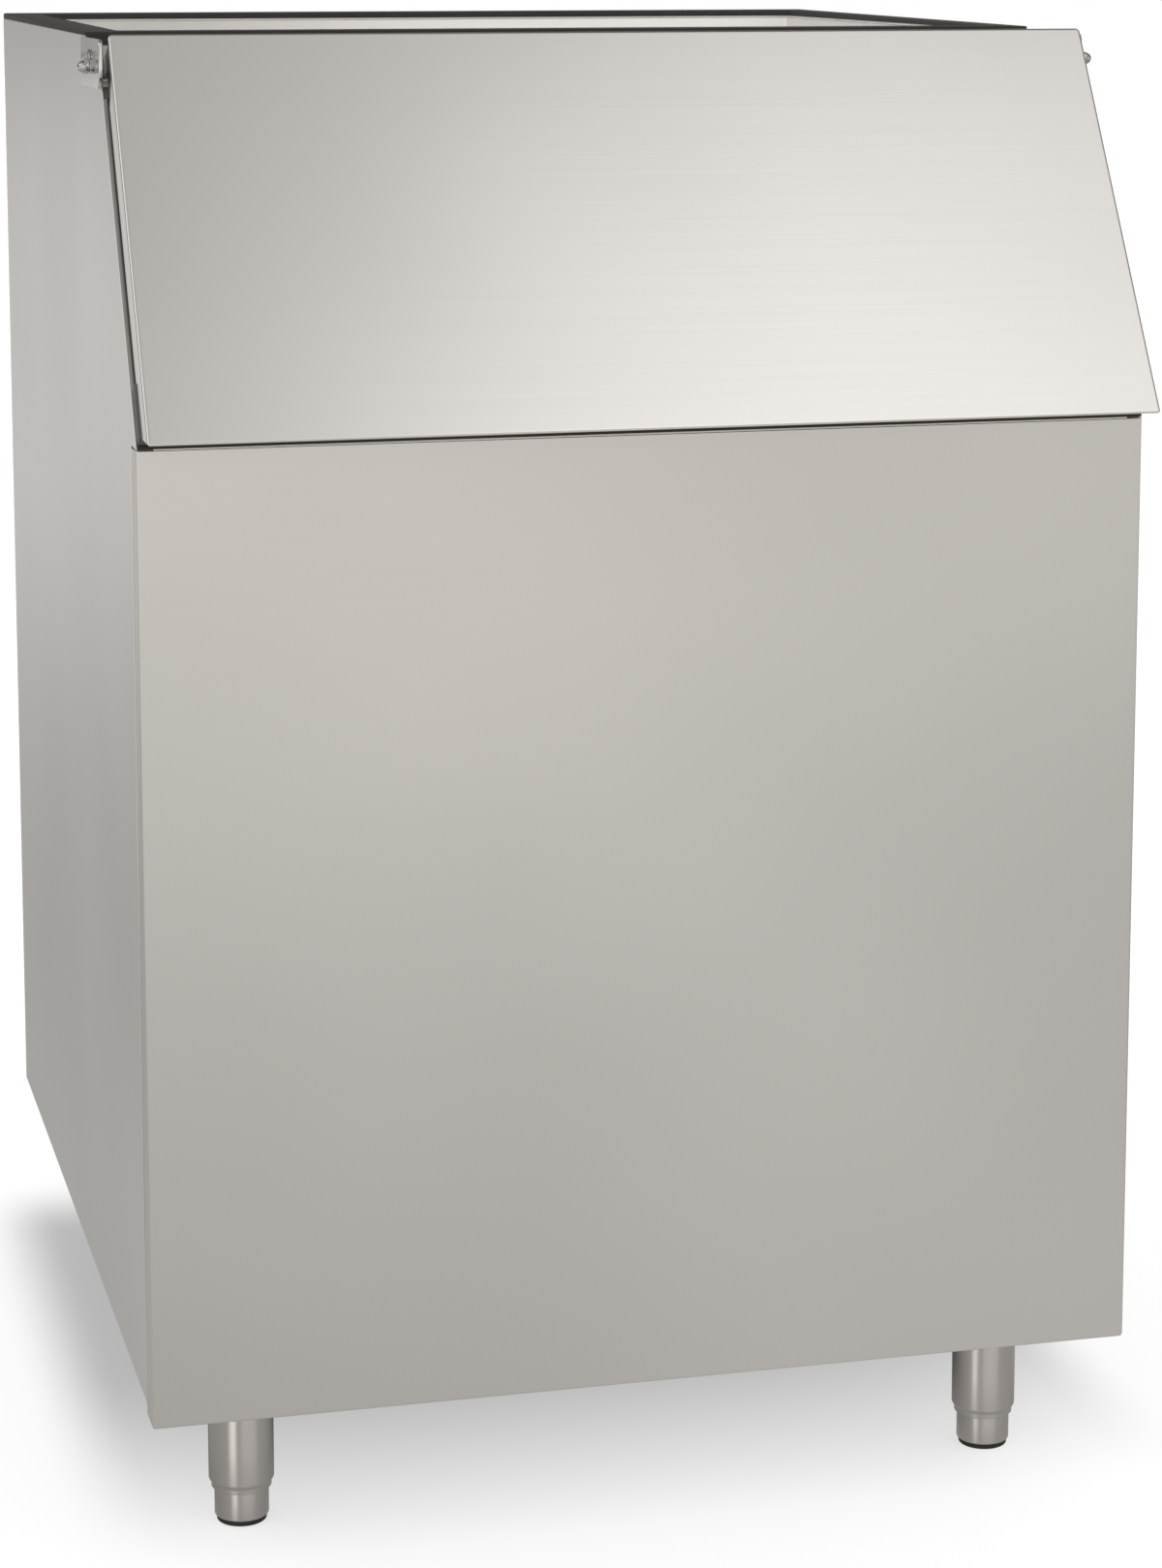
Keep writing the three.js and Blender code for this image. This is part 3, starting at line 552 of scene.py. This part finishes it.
THROAT_HALF = 351.0
THROAT_FRONT = RIM_FRONT + 35.0
THROAT_BACK = DEPTH - 55.0
GASKET_FRONT = 2.6
GASKET_BACK = 5.0
GASKET_BEND = 1.4
GASKET_DROP = 0.3
GASKET_INSET = 0.6
RIM_FACE = FRONT_Y + RIM_FRONT - 0.2
STRIP_HALF = HALF_WIDTH - 1.2
STRIP_EDGE = 0.3
# Top of the near-black strip over the ledge, which paints the shade under the gasket.
LEDGE_STRIP_TOP = 1107.0
SEAL_RUN = (SIDE_FLANGE_END + 0.2, SLANT_LENGTH - 0.4)
SEAL_HEIGHTS = (-1.4, -0.2)
# Painted shade: a near-black strip along the slant, in the gap beside the door.
SLANT_STRIP_RUN = (47.0, SLANT_LENGTH - 12.0)
SLANT_STRIP_HEIGHTS = (0.2, 5.0)
SLANT_STRIP_INNER = HALF_WIDTH - 8.0
SLANT_STRIP_OUTER = HALF_WIDTH - 3.0
# Painted shade: a near-black strip in the gap under the door.
FOOT_STRIP_HALF = HALF_WIDTH - 1.0
FOOT_STRIP = ((0.6, 0.2), (9.0, 0.2), (8.0, 2.6), (1.6, 2.6))


def throat_rect(grow, radius):
    """The throat's rectangle (x, depth), grown by `grow`."""
    return rounded_rect(
        -THROAT_HALF - grow, THROAT_HALF + grow, THROAT_FRONT - grow, THROAT_BACK + grow, radius)


def outer_rect(inset, radius):
    """The rim's rectangle (x, depth), drawn in by `inset`."""
    return rounded_rect(
        -HALF_WIDTH + inset, HALF_WIDTH - inset, RIM_FRONT + inset, DEPTH - inset, radius)


def gasket_ring(points, share):
    """A ring at a share of the thickness, which grows evenly from the front to the back."""
    back = (points[:, 1] - RIM_FRONT) / (DEPTH - RIM_FRONT)
    thickness = GASKET_FRONT + (GASKET_BACK - GASKET_FRONT) * back
    height = RIM_HEIGHT + GAP + (thickness - GAP) * share
    return np.column_stack([points[:, 0], FRONT_Y + points[:, 1], height])


def make_gasket():
    """Outer rectangle, shoulder arcs at insets r (1 - cos t), and the throat's rectangle."""
    outer, inner = [], []
    for t in np.radians([0, 30, 60, 90]):
        inset = GASKET_BEND * (1 - math.cos(t))
        share = 1.0 - GASKET_DROP * (1 - math.sin(t))
        outer.append(gasket_ring(outer_rect(inset, 1.5), share))
        inner.append(gasket_ring(throat_rect(GASKET_INSET + inset, 4.0), share))
    first = gasket_ring(outer_rect(0.0, 1.5), 0.0)
    last = gasket_ring(throat_rect(GASKET_INSET, 4.0), 0.0)
    return loft([first, *outer, *reversed(inner), last], closed=True)


def make_flange_seal(side):
    """Sealant between the end of the side panel's flange and the ledge."""
    outline = slanted_rect(*SEAL_RUN, *SEAL_HEIGHTS)
    return plate_on_side(outline, side, HALF_WIDTH - SIDE_FLANGE, STRIP_HALF, STRIP_EDGE)


def make_slant_shade_strip(side):
    """A near-black strip along the side panel's flange: painted shade for the shadowed gap beside the
    door.
    """
    corners = slanted_rect(*SLANT_STRIP_RUN, *SLANT_STRIP_HEIGHTS)
    outline = rounded_corners(corners, [0.4, 0.4, 2.0, 2.0])
    return plate_on_side(outline, side, SLANT_STRIP_INNER, SLANT_STRIP_OUTER, 2 * STRIP_EDGE)


def make_foot_shade_strip():
    """A near-black strip on the front panel's upper edge: painted shade for the shadowed gap under the
    door.
    """
    outline = [slant_point(*corner) for corner in FOOT_STRIP]
    return plate_along_x(outline, -FOOT_STRIP_HALF, FOOT_STRIP_HALF, STRIP_EDGE)


def make_rim_strip(low_out, high_out, low, high, drop):
    """A strip on the rim's front wall between two heights: how far out it stands at its
    foot and at its top, and how much lower the front edge of its top is."""
    outline = [
        (RIM_FACE - low_out, low),
        (RIM_FACE, low),
        (RIM_FACE, high),
        (RIM_FACE - high_out, high - drop),
    ]
    return plate_along_x(outline, -STRIP_HALF, STRIP_HALF, STRIP_EDGE)


# Below the gasket: a near-black strip in the corner over the ledge, painted shade for the shadowed
# face under the gasket, and the gasket's own edge folded down
ledge_strip = make_rim_strip(3.0, 1.5, LEDGE_HEIGHT + 2.0, LEDGE_STRIP_TOP, 0.0)
apron = make_rim_strip(1.2, 1.2, RIM_HEIGHT - 7.5, RIM_HEIGHT + 1.4, 0.4)
# The near-black strip under the door is painted shade.
add("door_foot_strip", make_foot_shade_strip(), CABINET, painted_shade_strips)
add("ledge_strip", ledge_strip, CABINET, painted_shade_strips)
add("top_gasket_apron", apron, CABINET, gasket_rubber)
for side, word in ((-1, "left"), (1, "right")):
    name = "side_panel_" + word
    add(name + "_seal", make_flange_seal(side), CABINET, seal_rubber)
    # The near-black strip beside the door is painted shade.
    add(name + "_strip", make_slant_shade_strip(side), CABINET, painted_shade_strips)
    add(name + "_formed", make_side_panel(side), CABINET, side_steel, [name])
add("top_gasket_formed", make_gasket(), CABINET, gasket_rubber, ["top_gasket"])


# Corners of the tub: a concave quarter bend, from nearly sharp at the rim to 12 mm lower down

CORNER_TOP = RIM_HEIGHT - 2.0
CORNER_FULL = RIM_HEIGHT - 40.0
CORNER_RADII = (1.0, 12.0)
CORNER_LIFT = 0.05
TUB_LOW = 215.0
OPENING_TOP = 1052.0
# End of the tub, its depth, which way it faces, and how low its bends reach
TUB_CORNERS = (("back", THROAT_BACK, 1, TUB_LOW), ("front", THROAT_FRONT, -1, OPENING_TOP))


def make_tub_corner(side, depth, facing, bottom):
    """Rows at heights; each runs from wall to wall on r (1 - sin t), r (1 - cos t)."""
    rings = []
    for height in (CORNER_TOP, RIM_HEIGHT - 12.0, RIM_HEIGHT - 26.0, CORNER_FULL, bottom):
        drop = min((CORNER_TOP - height) / (CORNER_TOP - CORNER_FULL), 1.0)
        radius = CORNER_RADII[0] + (CORNER_RADII[1] - CORNER_RADII[0]) * drop
        ring = [(0.0, 0.0)]
        for t in np.radians(np.linspace(0, 90, 9)):
            ring.append((radius * (1 - math.sin(t)), radius * (1 - math.cos(t))))
        inward = np.array(ring) + CORNER_LIFT
        x = side * (THROAT_HALF - inward[:, 0])
        y = FRONT_Y + depth - facing * inward[:, 1]
        rings.append(np.column_stack([x, y, np.full(len(ring), height)]))
    return loft(rings)


for side, word in ((-1, "left"), (1, "right")):
    for end, depth, facing, bottom in TUB_CORNERS:
        corner = make_tub_corner(side, depth, facing, bottom)
        add(f"tub_corner_{end}_{word}", corner, CABINET, tub_steel)


# Legs: tubes with a drawn-in end, feet with an eased edge, and pads that bulge a little

LEG_X = 301.0
LEG_INSET = 94.0
LEG_RADIUS = 25.0
LEG_NECK = 23.0
LEG_END = 27.0
BASE_HEIGHT = 150.0
LEG_PLATE = 3.0
LEG_TOP = BASE_HEIGHT - GAP - LEG_PLATE - GAP
LEG_BORE = 23.2
NECK_BORE = 21.4
PLUG_LOW = 78.0
PLUG_TOP = 86.0
PLUG_BORE = 6.3
FOOT_RADIUS = 20.8
FOOT_LOW = 4.3
FOOT_TOP = 58.0
STEM_RADIUS = 6.0
STEM_TOP = 116.0
PAD_HEIGHT = 4.0
# A profile starts and ends this close to its axis, so that no edge has no length
AXIS = 0.01


def make_leg_tube():
    """Outside up from the end: the neck, a reverse curve s^2 (3 - 2 s) out to the full
    radius, then straight; inside down again, past the threaded plug that holds the stem."""
    profile = [(LEG_NECK - 1.0, LEG_END)] + arc(LEG_NECK - 0.6, LEG_END + 0.6, 0.6, -90, 0, 3)
    for share in np.linspace(0, 1, 9):
        ease = share * share * (3 - 2 * share)
        profile.append((LEG_NECK + (LEG_RADIUS - LEG_NECK) * ease, LEG_END + 3.0 + 4.5 * share))
    profile += [(LEG_RADIUS, 60.0), (LEG_RADIUS, 100.0), (LEG_RADIUS, LEG_TOP)]
    profile += [(LEG_BORE, LEG_TOP), (LEG_BORE, PLUG_TOP), (PLUG_BORE, PLUG_TOP)]
    return tube_turned(profile + [(PLUG_BORE, PLUG_LOW), (NECK_BORE, PLUG_LOW), (NECK_BORE, LEG_END)])


def make_foot():
    """The foot with an eased lower edge, and the stem that screws into the leg."""
    profile = [(AXIS, FOOT_LOW), (FOOT_RADIUS - 1.6, FOOT_LOW)]
    profile += arc(FOOT_RADIUS - 1.5, FOOT_LOW + 1.5, 1.5, -90, 0, 5)
    profile += [(FOOT_RADIUS, 20.0), (FOOT_RADIUS, FOOT_TOP - 1.0), (FOOT_RADIUS - 1.0, FOOT_TOP)]
    profile += [(STEM_RADIUS, FOOT_TOP), (STEM_RADIUS, STEM_TOP - 1.0)]
    return turned(profile + [(STEM_RADIUS - 1.0, STEM_TOP), (AXIS, STEM_TOP)])


def make_pad():
    """The pad, widest a little above the floor."""
    profile = [(AXIS, 0.0), (17.6, 0.0)] + arc(17.8, 1.4, 1.4, -80, 0, 4)
    return turned(profile + [(19.2, 2.4), (19.6, 3.3), (19.6, PAD_HEIGHT), (AXIS, PAD_HEIGHT)])


# Name of the piece, its maker, the slot, the material, and whether it goes with the foot
LEG_PIECES = (
    ("leg_tube_{}", "_turned", make_leg_tube, "leg_steel", leg_steel, False),
    ("foot_{}", "_turned", make_foot, "leg_steel", leg_steel, True),
    ("foot_pad_{}", "_moulded", make_pad, "black_pad", pad_rubber, True),
)
for end, y in (("front", FRONT_Y + LEG_INSET), ("rear", FRONT_Y + DEPTH - LEG_INSET)):
    for x, hand in ((-LEG_X, "left"), (LEG_X, "right")):
        word = f"{end}_{hand}"
        place = Matrix.Translation((x, y, 0))
        for pattern, ending, make, slot, material, on_foot in LEG_PIECES:
            body = "foot_assembly_" + word if on_foot else CABINET
            node = pattern.format(word)
            add(node + ending, moved(make(), place), body, material, [node])


# Hinge hardware

PIVOT_OUT = 5.8
PIVOT_ALONG = (LEDGE_HEIGHT + 14.5 - SLANT_FOOT - PIVOT_OUT * math.sin(SLANT)) / math.cos(SLANT)
PIVOT = slant_point(PIVOT_ALONG, PIVOT_OUT)
UPPER_BOLT = (PIVOT[0] + 38.0, PIVOT[1] + 5.0)
REAR_RIVET = (PIVOT[0] + 78.0, PIVOT[1] - 4.0)
BRACKET_SHEET = 3.0
BRACKET_OUT = HALF_WIDTH + GAP + BRACKET_SHEET
BRACKET_HALF = 16.5
BACKING_INNER = HALF_WIDTH - SHEET - GAP - BRACKET_SHEET
SEAT = BRACKET_OUT + GAP
PIVOT_INNER = 368.6
HEX_ACROSS = 10.0
NUT_HEIGHT = 5.0
THREAD_RADIUS = 3.0
PIN_RADIUS = 4.0
THREAD_END = 8.8
WASHER_RADIUS = 6.8
WASHER_HEIGHT = 1.1
ACORN_BASE = 3.5
DOME_RADIUS = 4.6
DOME_HEIGHT = 4.9
RIVET_RADIUS = 4.5


def make_bracket(side):
    """A plate round the pivot in front and below, up to the gasket and back to the rim."""
    front, rear = PIVOT[0] - BRACKET_HALF, RIM_FACE - 0.3
    low, top = PIVOT[1] - BRACKET_HALF, RIM_HEIGHT - 0.6
    outline = rounded_corners(
        [(front, low), (rear, low), (rear, top), (front, top)],
        [BRACKET_HALF - 0.1, 1.0, 1.0, 5.0], 10)
    return plate_on_side(outline, side, HALF_WIDTH + GAP, BRACKET_OUT, 0.6)


def hexagon_head(height):
    """A hexagon with its corners turned off at both ends: the smaller of both radii."""
    corner, flat = HEX_ACROSS / math.sqrt(3), HEX_ACROSS / 2
    rows = [(AXIS, 0.0), (flat * 0.97, 0.0), (flat, 0.35), (corner, 1.0), (corner, height - 0.9)]
    rows += [(flat, height - 0.15), (flat * 0.95, height), (AXIS, height)]
    return turned(rows, 72, hexagon_radius(HEX_ACROSS))


def dome(radius, height, low, end, count):
    """Rows r = R cos t, h = low + H sin t, up to t = `end` degrees."""
    angles = np.radians(np.linspace(0, end, count))
    return [(radius * math.cos(t), low + height * math.sin(t)) for t in angles]


def make_upper_bolt():
    """A washer, a hexagon head on it and a shank through the bracket."""
    rim = WASHER_RADIUS - 0.2
    rows = [(AXIS, 0.0), (rim, 0.0), (WASHER_RADIUS, 0.2), (WASHER_RADIUS, WASHER_HEIGHT - 0.2)]
    washer = turned(rows + [(rim, WASHER_HEIGHT), (AXIS, WASHER_HEIGHT)])
    head = moved(hexagon_head(4.6), Matrix.Translation((0, 0, WASHER_HEIGHT)))
    shank = [(AXIS, -8.0), (THREAD_RADIUS, -8.0), (THREAD_RADIUS, 0.1), (AXIS, 0.1)]
    return merge(washer, head, turned(shank, 32))


def make_lock_nut():
    """A plain hexagon nut against the bracket."""
    return hexagon_head(NUT_HEIGHT)


def make_acorn():
    """A hexagon foot and a dome on it."""
    flat, corner = HEX_ACROSS / 2, HEX_ACROSS / math.sqrt(3)
    rows = [(AXIS, 0.0), (flat - 0.3, 0.0), (flat, 0.3), (corner, 1.0), (corner, 2.9)]
    base = turned(rows + [(flat, ACORN_BASE), (AXIS, ACORN_BASE)], 72, hexagon_radius(HEX_ACROSS))
    rows = [(AXIS, ACORN_BASE - 0.1), (DOME_RADIUS, ACORN_BASE - 0.1)]
    rows += dome(DOME_RADIUS, DOME_HEIGHT, ACORN_BASE + 0.1, 88, 12)
    return merge(base, turned(rows + [(AXIS, ACORN_BASE + 0.1 + DOME_HEIGHT)]))


def make_pivot_bolt():
    """A pin with a shoulder against the side panel and a thread for its nuts."""
    end, shoulder = PIVOT_INNER - SEAT, HALF_WIDTH - SEAT
    rows = [(AXIS, end), (PIN_RADIUS - 0.4, end), (PIN_RADIUS, end + 0.4)]
    rows += [(PIN_RADIUS, shoulder - 0.3), (PIN_RADIUS - 0.3, shoulder), (THREAD_RADIUS, shoulder)]
    rows += [(THREAD_RADIUS, THREAD_END - 0.2), (THREAD_RADIUS - 0.2, THREAD_END)]
    return turned(rows + [(AXIS, THREAD_END)])


def make_rear_rivet():
    """A rivet with a low domed head on the bracket and a flat one on the backing plate."""
    tail = BACKING_INNER - GAP - SEAT
    rows = [(AXIS, tail - 1.2), (RIVET_RADIUS - 0.2, tail - 1.2), (RIVET_RADIUS, tail - 1.0)]
    rows += [(RIVET_RADIUS, tail), (THREAD_RADIUS, tail), (THREAD_RADIUS, 0.0)]
    return turned(rows + [(RIVET_RADIUS - 0.1, 0.0)] + dome(RIVET_RADIUS, 1.0, 0.2, 88, 8))


# Name, maker, how far from the bracket's face it sits, its axis in the side view, material
FASTENERS = (
    ("upper_bolt_", make_upper_bolt, 0.0, UPPER_BOLT, nut_steel),
    ("rear_rivet_", make_rear_rivet, 0.0, REAR_RIVET, hardware),
    ("lock_nut_", make_lock_nut, 0.0, PIVOT, nut_steel),
    ("acorn_nut_", make_acorn, NUT_HEIGHT + GAP, PIVOT, nut_steel),
    ("pivot_bolt_", make_pivot_bolt, 0.0, PIVOT, hardware),
)
for side, word in ((-1, "left"), (1, "right")):
    node = "hinge_bracket_" + word
    add(node + "_formed", make_bracket(side), CABINET, hardware, [node])
    for start, make, off, axis, material in FASTENERS:
        part = along_x(make(), side, SEAT + off, *axis)
        add(f"{start}{word}_turned", part, CABINET, material, [start + word])


# Studio

FLOOR_HALF = 30000.0
FLOOR_ALBEDO = 0.45
FLOOR_LIFT = 0.72
# Painted soft shadow of the bin's footprint in the floor's colour and glow, in metres on the floor
SHADE_MIDDLE = 0.018
SHADE_SIDES = (0.375, 0.455)
SHADE_FRONT = (-0.43, 0.02)
SHADE_REAR = (0.36, 0.52)
SHADE_DEPTH = 0.54
UNDER_DEPTH = 0.05
# The floor as polished metal sees it: painted shade darker close by, darker behind and to the right,
# and a pale patch
FLOOR_REACH = (1.195, 5.776)
FLOOR_NEAR = 0.491
FLOOR_FAR = 0.889
BACK_REACH = (-2.0, 3.0)
BACK_SHARE = 0.72
RIGHT_SHARE = 0.711
RIGHT_LEAN = 0.137
RIGHT_REACH = (-0.109, 1.763)
PATCH_MIDDLE = 0.58
PATCH_REACH = 1.042
PATCH_LIFT = 0.165
PATCH_FADE = (-3.43, -1.93)
# The room as polished metal sees it, from the front to the back and from the floor up
ROOM_COLOR = (1.0, 0.99, 0.975)
ROOM_DEPTH = (-0.8, 0.8)
ROOM_RISE = (0.1, 0.7)
ROOM_FRONT = 0.78
ROOM_BACK = 0.34
ROOM_TOP = 0.42
# Round lights in it: direction, degrees off it where it ends and where it is full, and
# strength, which darkens the room where it is below zero
ROOM_LIGHTS = (
    ((0.42, -0.562, 0.713), 19.5, 5.2, 0.91),
    ((-0.202, -0.654, 0.729), 36.6, 28.4, 0.356),
    ((0.28, -0.47, 0.83), 48.0, 26.0, -0.332),
    ((-0.85, -0.05, 0.5), 24.0, 8.0, 0.8),
    ((0.0, 0.6, 0.8), 42.0, 15.0, -0.26),
    ((-0.96, 0.27, 0.0), 40.0, 15.0, -0.28),
    ((0.96, 0.27, 0.0), 40.0, 15.0, -0.28),
)
MATT_COLOR = (0.8, 0.8, 0.8)
WHITE = (1.0, 1.0, 1.0)
# Small lights: name, place, target, size, power, for polish or for matt surfaces, spread in
# degrees, and how the names of the pieces start that it lights
LEGS = ("leg_tube_", "foot_")
LIGHTS = (
    ("strip_left", (-1.28, -1.62, 0.13), (-0.3, -0.32, 0.13), (0.6, 0.26), 6.2, True, 180.0, LEGS),
    ("broad_front", (0.5, -2.6, 0.45), (0.0, -0.32, 0.1), (2.4, 0.8), 15.0, True, 180.0, LEGS),
    ("throat_light", (0.16, -1.3, 2.5), (0.16, 0.36, 1.05), (0.5, 0.2), 0.3, False, 12.0, "tub_"),
)
# Camera fitted to the photograph's edges, with a partial lens shift
CAMERA_PLACE = (-0.7316, -3.0536, 1.1997)
CAMERA_YAW = 14.327
CAMERA_PITCH = 8.244
CAMERA_LENS = 86.871
CAMERA_SHIFT = -0.1912


def math_node(nodes, links, operation, *values):
    """A sum of numbers and node outputs by the named operation."""
    node = nodes.new("ShaderNodeMath")
    node.operation = operation
    for socket, value in zip(node.inputs, values):
        if isinstance(value, (int, float)):
            socket.default_value = value
        else:
            links.new(value, socket)
    return node.outputs["Value"]


def product(nodes, links, first, *others):
    """All the values multiplied together."""
    result = first
    for value in others:
        result = math_node(nodes, links, "MULTIPLY", result, value)
    return result


def distance_from(nodes, links, value, middle):
    """How far a value is from the middle: |value - middle|."""
    return math_node(nodes, links, "ABSOLUTE", math_node(nodes, links, "SUBTRACT", value, middle))


def map_range(nodes, links, value, start, end, low, high, how="SMOOTHSTEP"):
    """Maps a value from start..end onto low..high."""
    node = nodes.new("ShaderNodeMapRange")
    node.interpolation_type = how
    links.new(value, node.inputs["Value"])
    for name, number in zip(("From Min", "From Max", "To Min", "To Max"), (start, end, low, high)):
        node.inputs[name].default_value = number
    return node.outputs["Result"]


def toward(nodes, links, vector, direction):
    """How far a unit vector points in a direction: their dot product."""
    node = nodes.new("ShaderNodeVectorMath")
    node.operation = "DOT_PRODUCT"
    links.new(vector, node.inputs[0])
    node.inputs[1].default_value = Vector(direction).normalized()
    return node.outputs["Value"]


def axes(nodes, links, vector):
    """The X, Y and Z of a vector."""
    node = nodes.new("ShaderNodeSeparateXYZ")
    links.new(vector, node.inputs[0])
    return node.outputs["X"], node.outputs["Y"], node.outputs["Z"]


def choose(nodes, links, share, otherwise, chosen):
    """One shader where the share is 0 and another where it is 1."""
    node = nodes.new("ShaderNodeMixShader")
    links.new(share, node.inputs["Fac"])
    links.new(otherwise, node.inputs[1])
    links.new(chosen, node.inputs[2])
    return node.outputs["Shader"]


def glow(nodes, links, strength):
    """A white emission."""
    node = nodes.new("ShaderNodeEmission")
    links.new(strength, node.inputs["Strength"])
    return node.outputs["Emission"]


def footprint(nodes, links, x, y):
    """The mask of the painted shadow: 1 under the bin and 0 past its soft edges, three smooth steps
    multiplied.
    """
    aside = distance_from(nodes, links, x, SHADE_MIDDLE)
    across = map_range(nodes, links, aside, *SHADE_SIDES, 1.0, 0.0)
    front = map_range(nodes, links, y, *SHADE_FRONT, 0.0, 1.0)
    rear = map_range(nodes, links, y, *SHADE_REAR, 1.0, 0.0)
    return product(nodes, links, front, rear, across)


def floor_in_metal(nodes, links, where, x, y, under):
    """The floor's level for polished metal: it rises with the distance from the bin, painted shade
    near it, times its fall to the back and to the right, times the patch, times the painted shadow
    under the bin."""
    length = nodes.new("ShaderNodeVectorMath")
    length.operation = "LENGTH"
    links.new(where, length.inputs[0])
    near = map_range(nodes, links, length.outputs["Value"], *FLOOR_REACH, FLOOR_NEAR, FLOOR_FAR)
    back = map_range(nodes, links, y, *BACK_REACH, 1.0, BACK_SHARE)
    lean = math_node(nodes, links, "ADD", x, product(nodes, links, y, RIGHT_LEAN))
    right = map_range(nodes, links, lean, *RIGHT_REACH, 1.0, RIGHT_SHARE)
    aside = distance_from(nodes, links, x, PATCH_MIDDLE)
    patch = map_range(nodes, links, aside, 0.0, PATCH_REACH, PATCH_LIFT, 0.0)
    fade = map_range(nodes, links, y, *PATCH_FADE, 0.0, 1.0)
    patch = math_node(nodes, links, "ADD", product(nodes, links, patch, fade), 1.0)
    # Painted shadow under the bin, as polished metal sees the floor.
    dark = map_range(nodes, links, under, 0.0, 1.0, 1.0, UNDER_DEPTH, "LINEAR")
    return product(nodes, links, near, back, right, patch, dark)


def make_floor():
    """A pale floor. The camera sees it near white, with the bin's soft shadow and a painted shadow
    under the bin, and polished metal sees it greyer, with painted shade close to and under the bin."""
    material, nodes, links, shader = new_material("studio_floor")
    shader.inputs["Roughness"].default_value = 1.0
    shader.inputs["Specular IOR Level"].default_value = 0.0
    matt = shader.outputs["BSDF"]
    path = nodes.new("ShaderNodeLightPath")
    where = nodes.new("ShaderNodeTexCoord").outputs["Object"]
    x, y, _ = axes(nodes, links, where)
    under = footprint(nodes, links, x, y)
    # Painted shadow: the footprint darkens the floor's colour and its glow for the camera.
    shade = map_range(nodes, links, under, 0.0, 1.0, 1.0, SHADE_DEPTH, "LINEAR")
    albedo = product(nodes, links, shade, FLOOR_ALBEDO)
    grey = nodes.new("ShaderNodeCombineColor")
    for name in ("Red", "Green", "Blue"):
        links.new(albedo, grey.inputs[name])
    links.new(grey.outputs["Color"], shader.inputs["Base Color"])
    lifted = nodes.new("ShaderNodeAddShader")
    links.new(matt, lifted.inputs[0])
    links.new(glow(nodes, links, product(nodes, links, shade, FLOOR_LIFT)), lifted.inputs[1])
    seen = choose(nodes, links, path.outputs["Is Camera Ray"], matt, lifted.outputs["Shader"])
    mirrored = glow(nodes, links, floor_in_metal(nodes, links, where, x, y, under))
    surface = choose(nodes, links, path.outputs["Is Glossy Ray"], seen, mirrored)
    links.new(surface, nodes["Material Output"].inputs["Surface"])
    corners = ((-1, -1), (1, -1), (1, 1), (-1, 1))
    vertices = [(right * FLOOR_HALF, back * FLOOR_HALF, 0) for right, back in corners]
    make_object("studio_floor", vertices, [(0, 1, 2, 3)], material)


def background(nodes, color):
    """An even background of one colour."""
    node = nodes.new("ShaderNodeBackground")
    node.inputs["Color"].default_value = (*color, 1)
    return node


def make_world():
    """White for the camera, even light for matt surfaces, and for polished metal a soft grey
    room, which falls from front to back, has its own level overhead, and holds ROOM_LIGHTS."""
    world = bpy.data.worlds.new("studio")
    bpy.context.scene.world = world
    world.use_nodes = True
    nodes, links = world.node_tree.nodes, world.node_tree.links
    nodes.clear()
    path = nodes.new("ShaderNodeLightPath")
    where = nodes.new("ShaderNodeTexCoord").outputs["Generated"]
    _, y, z = axes(nodes, links, where)
    mix = nodes.new("ShaderNodeMix")
    mix.data_type = "FLOAT"
    links.new(map_range(nodes, links, z, *ROOM_RISE, 0.0, 1.0), mix.inputs[0])
    links.new(map_range(nodes, links, y, *ROOM_DEPTH, ROOM_FRONT, ROOM_BACK), mix.inputs[2])
    mix.inputs[3].default_value = ROOM_TOP
    level = mix.outputs[0]
    for direction, end, full, strength in ROOM_LIGHTS:
        near = toward(nodes, links, where, direction)
        reach = [math.cos(math.radians(angle)) for angle in (end, full)]
        light = map_range(nodes, links, near, *reach, 0.0, strength)
        level = math_node(nodes, links, "ADD", level, light)
    room = background(nodes, ROOM_COLOR)
    links.new(level, room.inputs["Strength"])
    lit = choose(
        nodes, links, path.outputs["Is Glossy Ray"],
        background(nodes, MATT_COLOR).outputs["Background"], room.outputs["Background"])
    surface = choose(
        nodes, links, path.outputs["Is Camera Ray"],
        lit, background(nodes, WHITE).outputs["Background"])
    output = nodes.new("ShaderNodeOutputWorld")
    links.new(surface, output.inputs["Surface"])


def area_light(name, position, target, size, power, polished, spread, starts):
    """A light that only polished surfaces show, or only matt ones, and of those only the
    pieces whose names start as given."""
    light = bpy.data.lights.new(name, "AREA")
    light.shape = "RECTANGLE"
    light.size, light.size_y = size
    light.energy = power
    light.spread = math.radians(spread)
    item = bpy.data.objects.new(name, light)
    bpy.context.scene.collection.objects.link(item)
    item.location = position
    item.rotation_euler = (Vector(target) - Vector(position)).to_track_quat("-Z", "Y").to_euler()
    item.visible_camera = False
    item.visible_diffuse = not polished
    item.visible_glossy = polished
    receivers = bpy.data.collections.new(name + "_lit")
    for piece in bpy.data.objects:
        if piece.name.startswith(starts):
            receivers.objects.link(piece)
    item.light_linking.receiver_collection = receivers


def make_camera():
    """The photograph's camera, turned right by its yaw and down by its pitch."""
    data = bpy.data.cameras.new("photo_camera")
    data.lens = CAMERA_LENS
    data.sensor_width = 36.0
    data.shift_y = CAMERA_SHIFT
    data.clip_end = 100.0
    camera = bpy.data.objects.new("photo_camera", data)
    bpy.context.scene.collection.objects.link(camera)
    camera.location = CAMERA_PLACE
    camera.rotation_euler = (math.radians(90 - CAMERA_PITCH), 0, math.radians(-CAMERA_YAW))
    bpy.context.scene.camera = camera


make_floor()
make_world()
for row in LIGHTS:
    area_light(*row)
make_camera()
bpy.context.scene.view_settings.view_transform = "Standard"
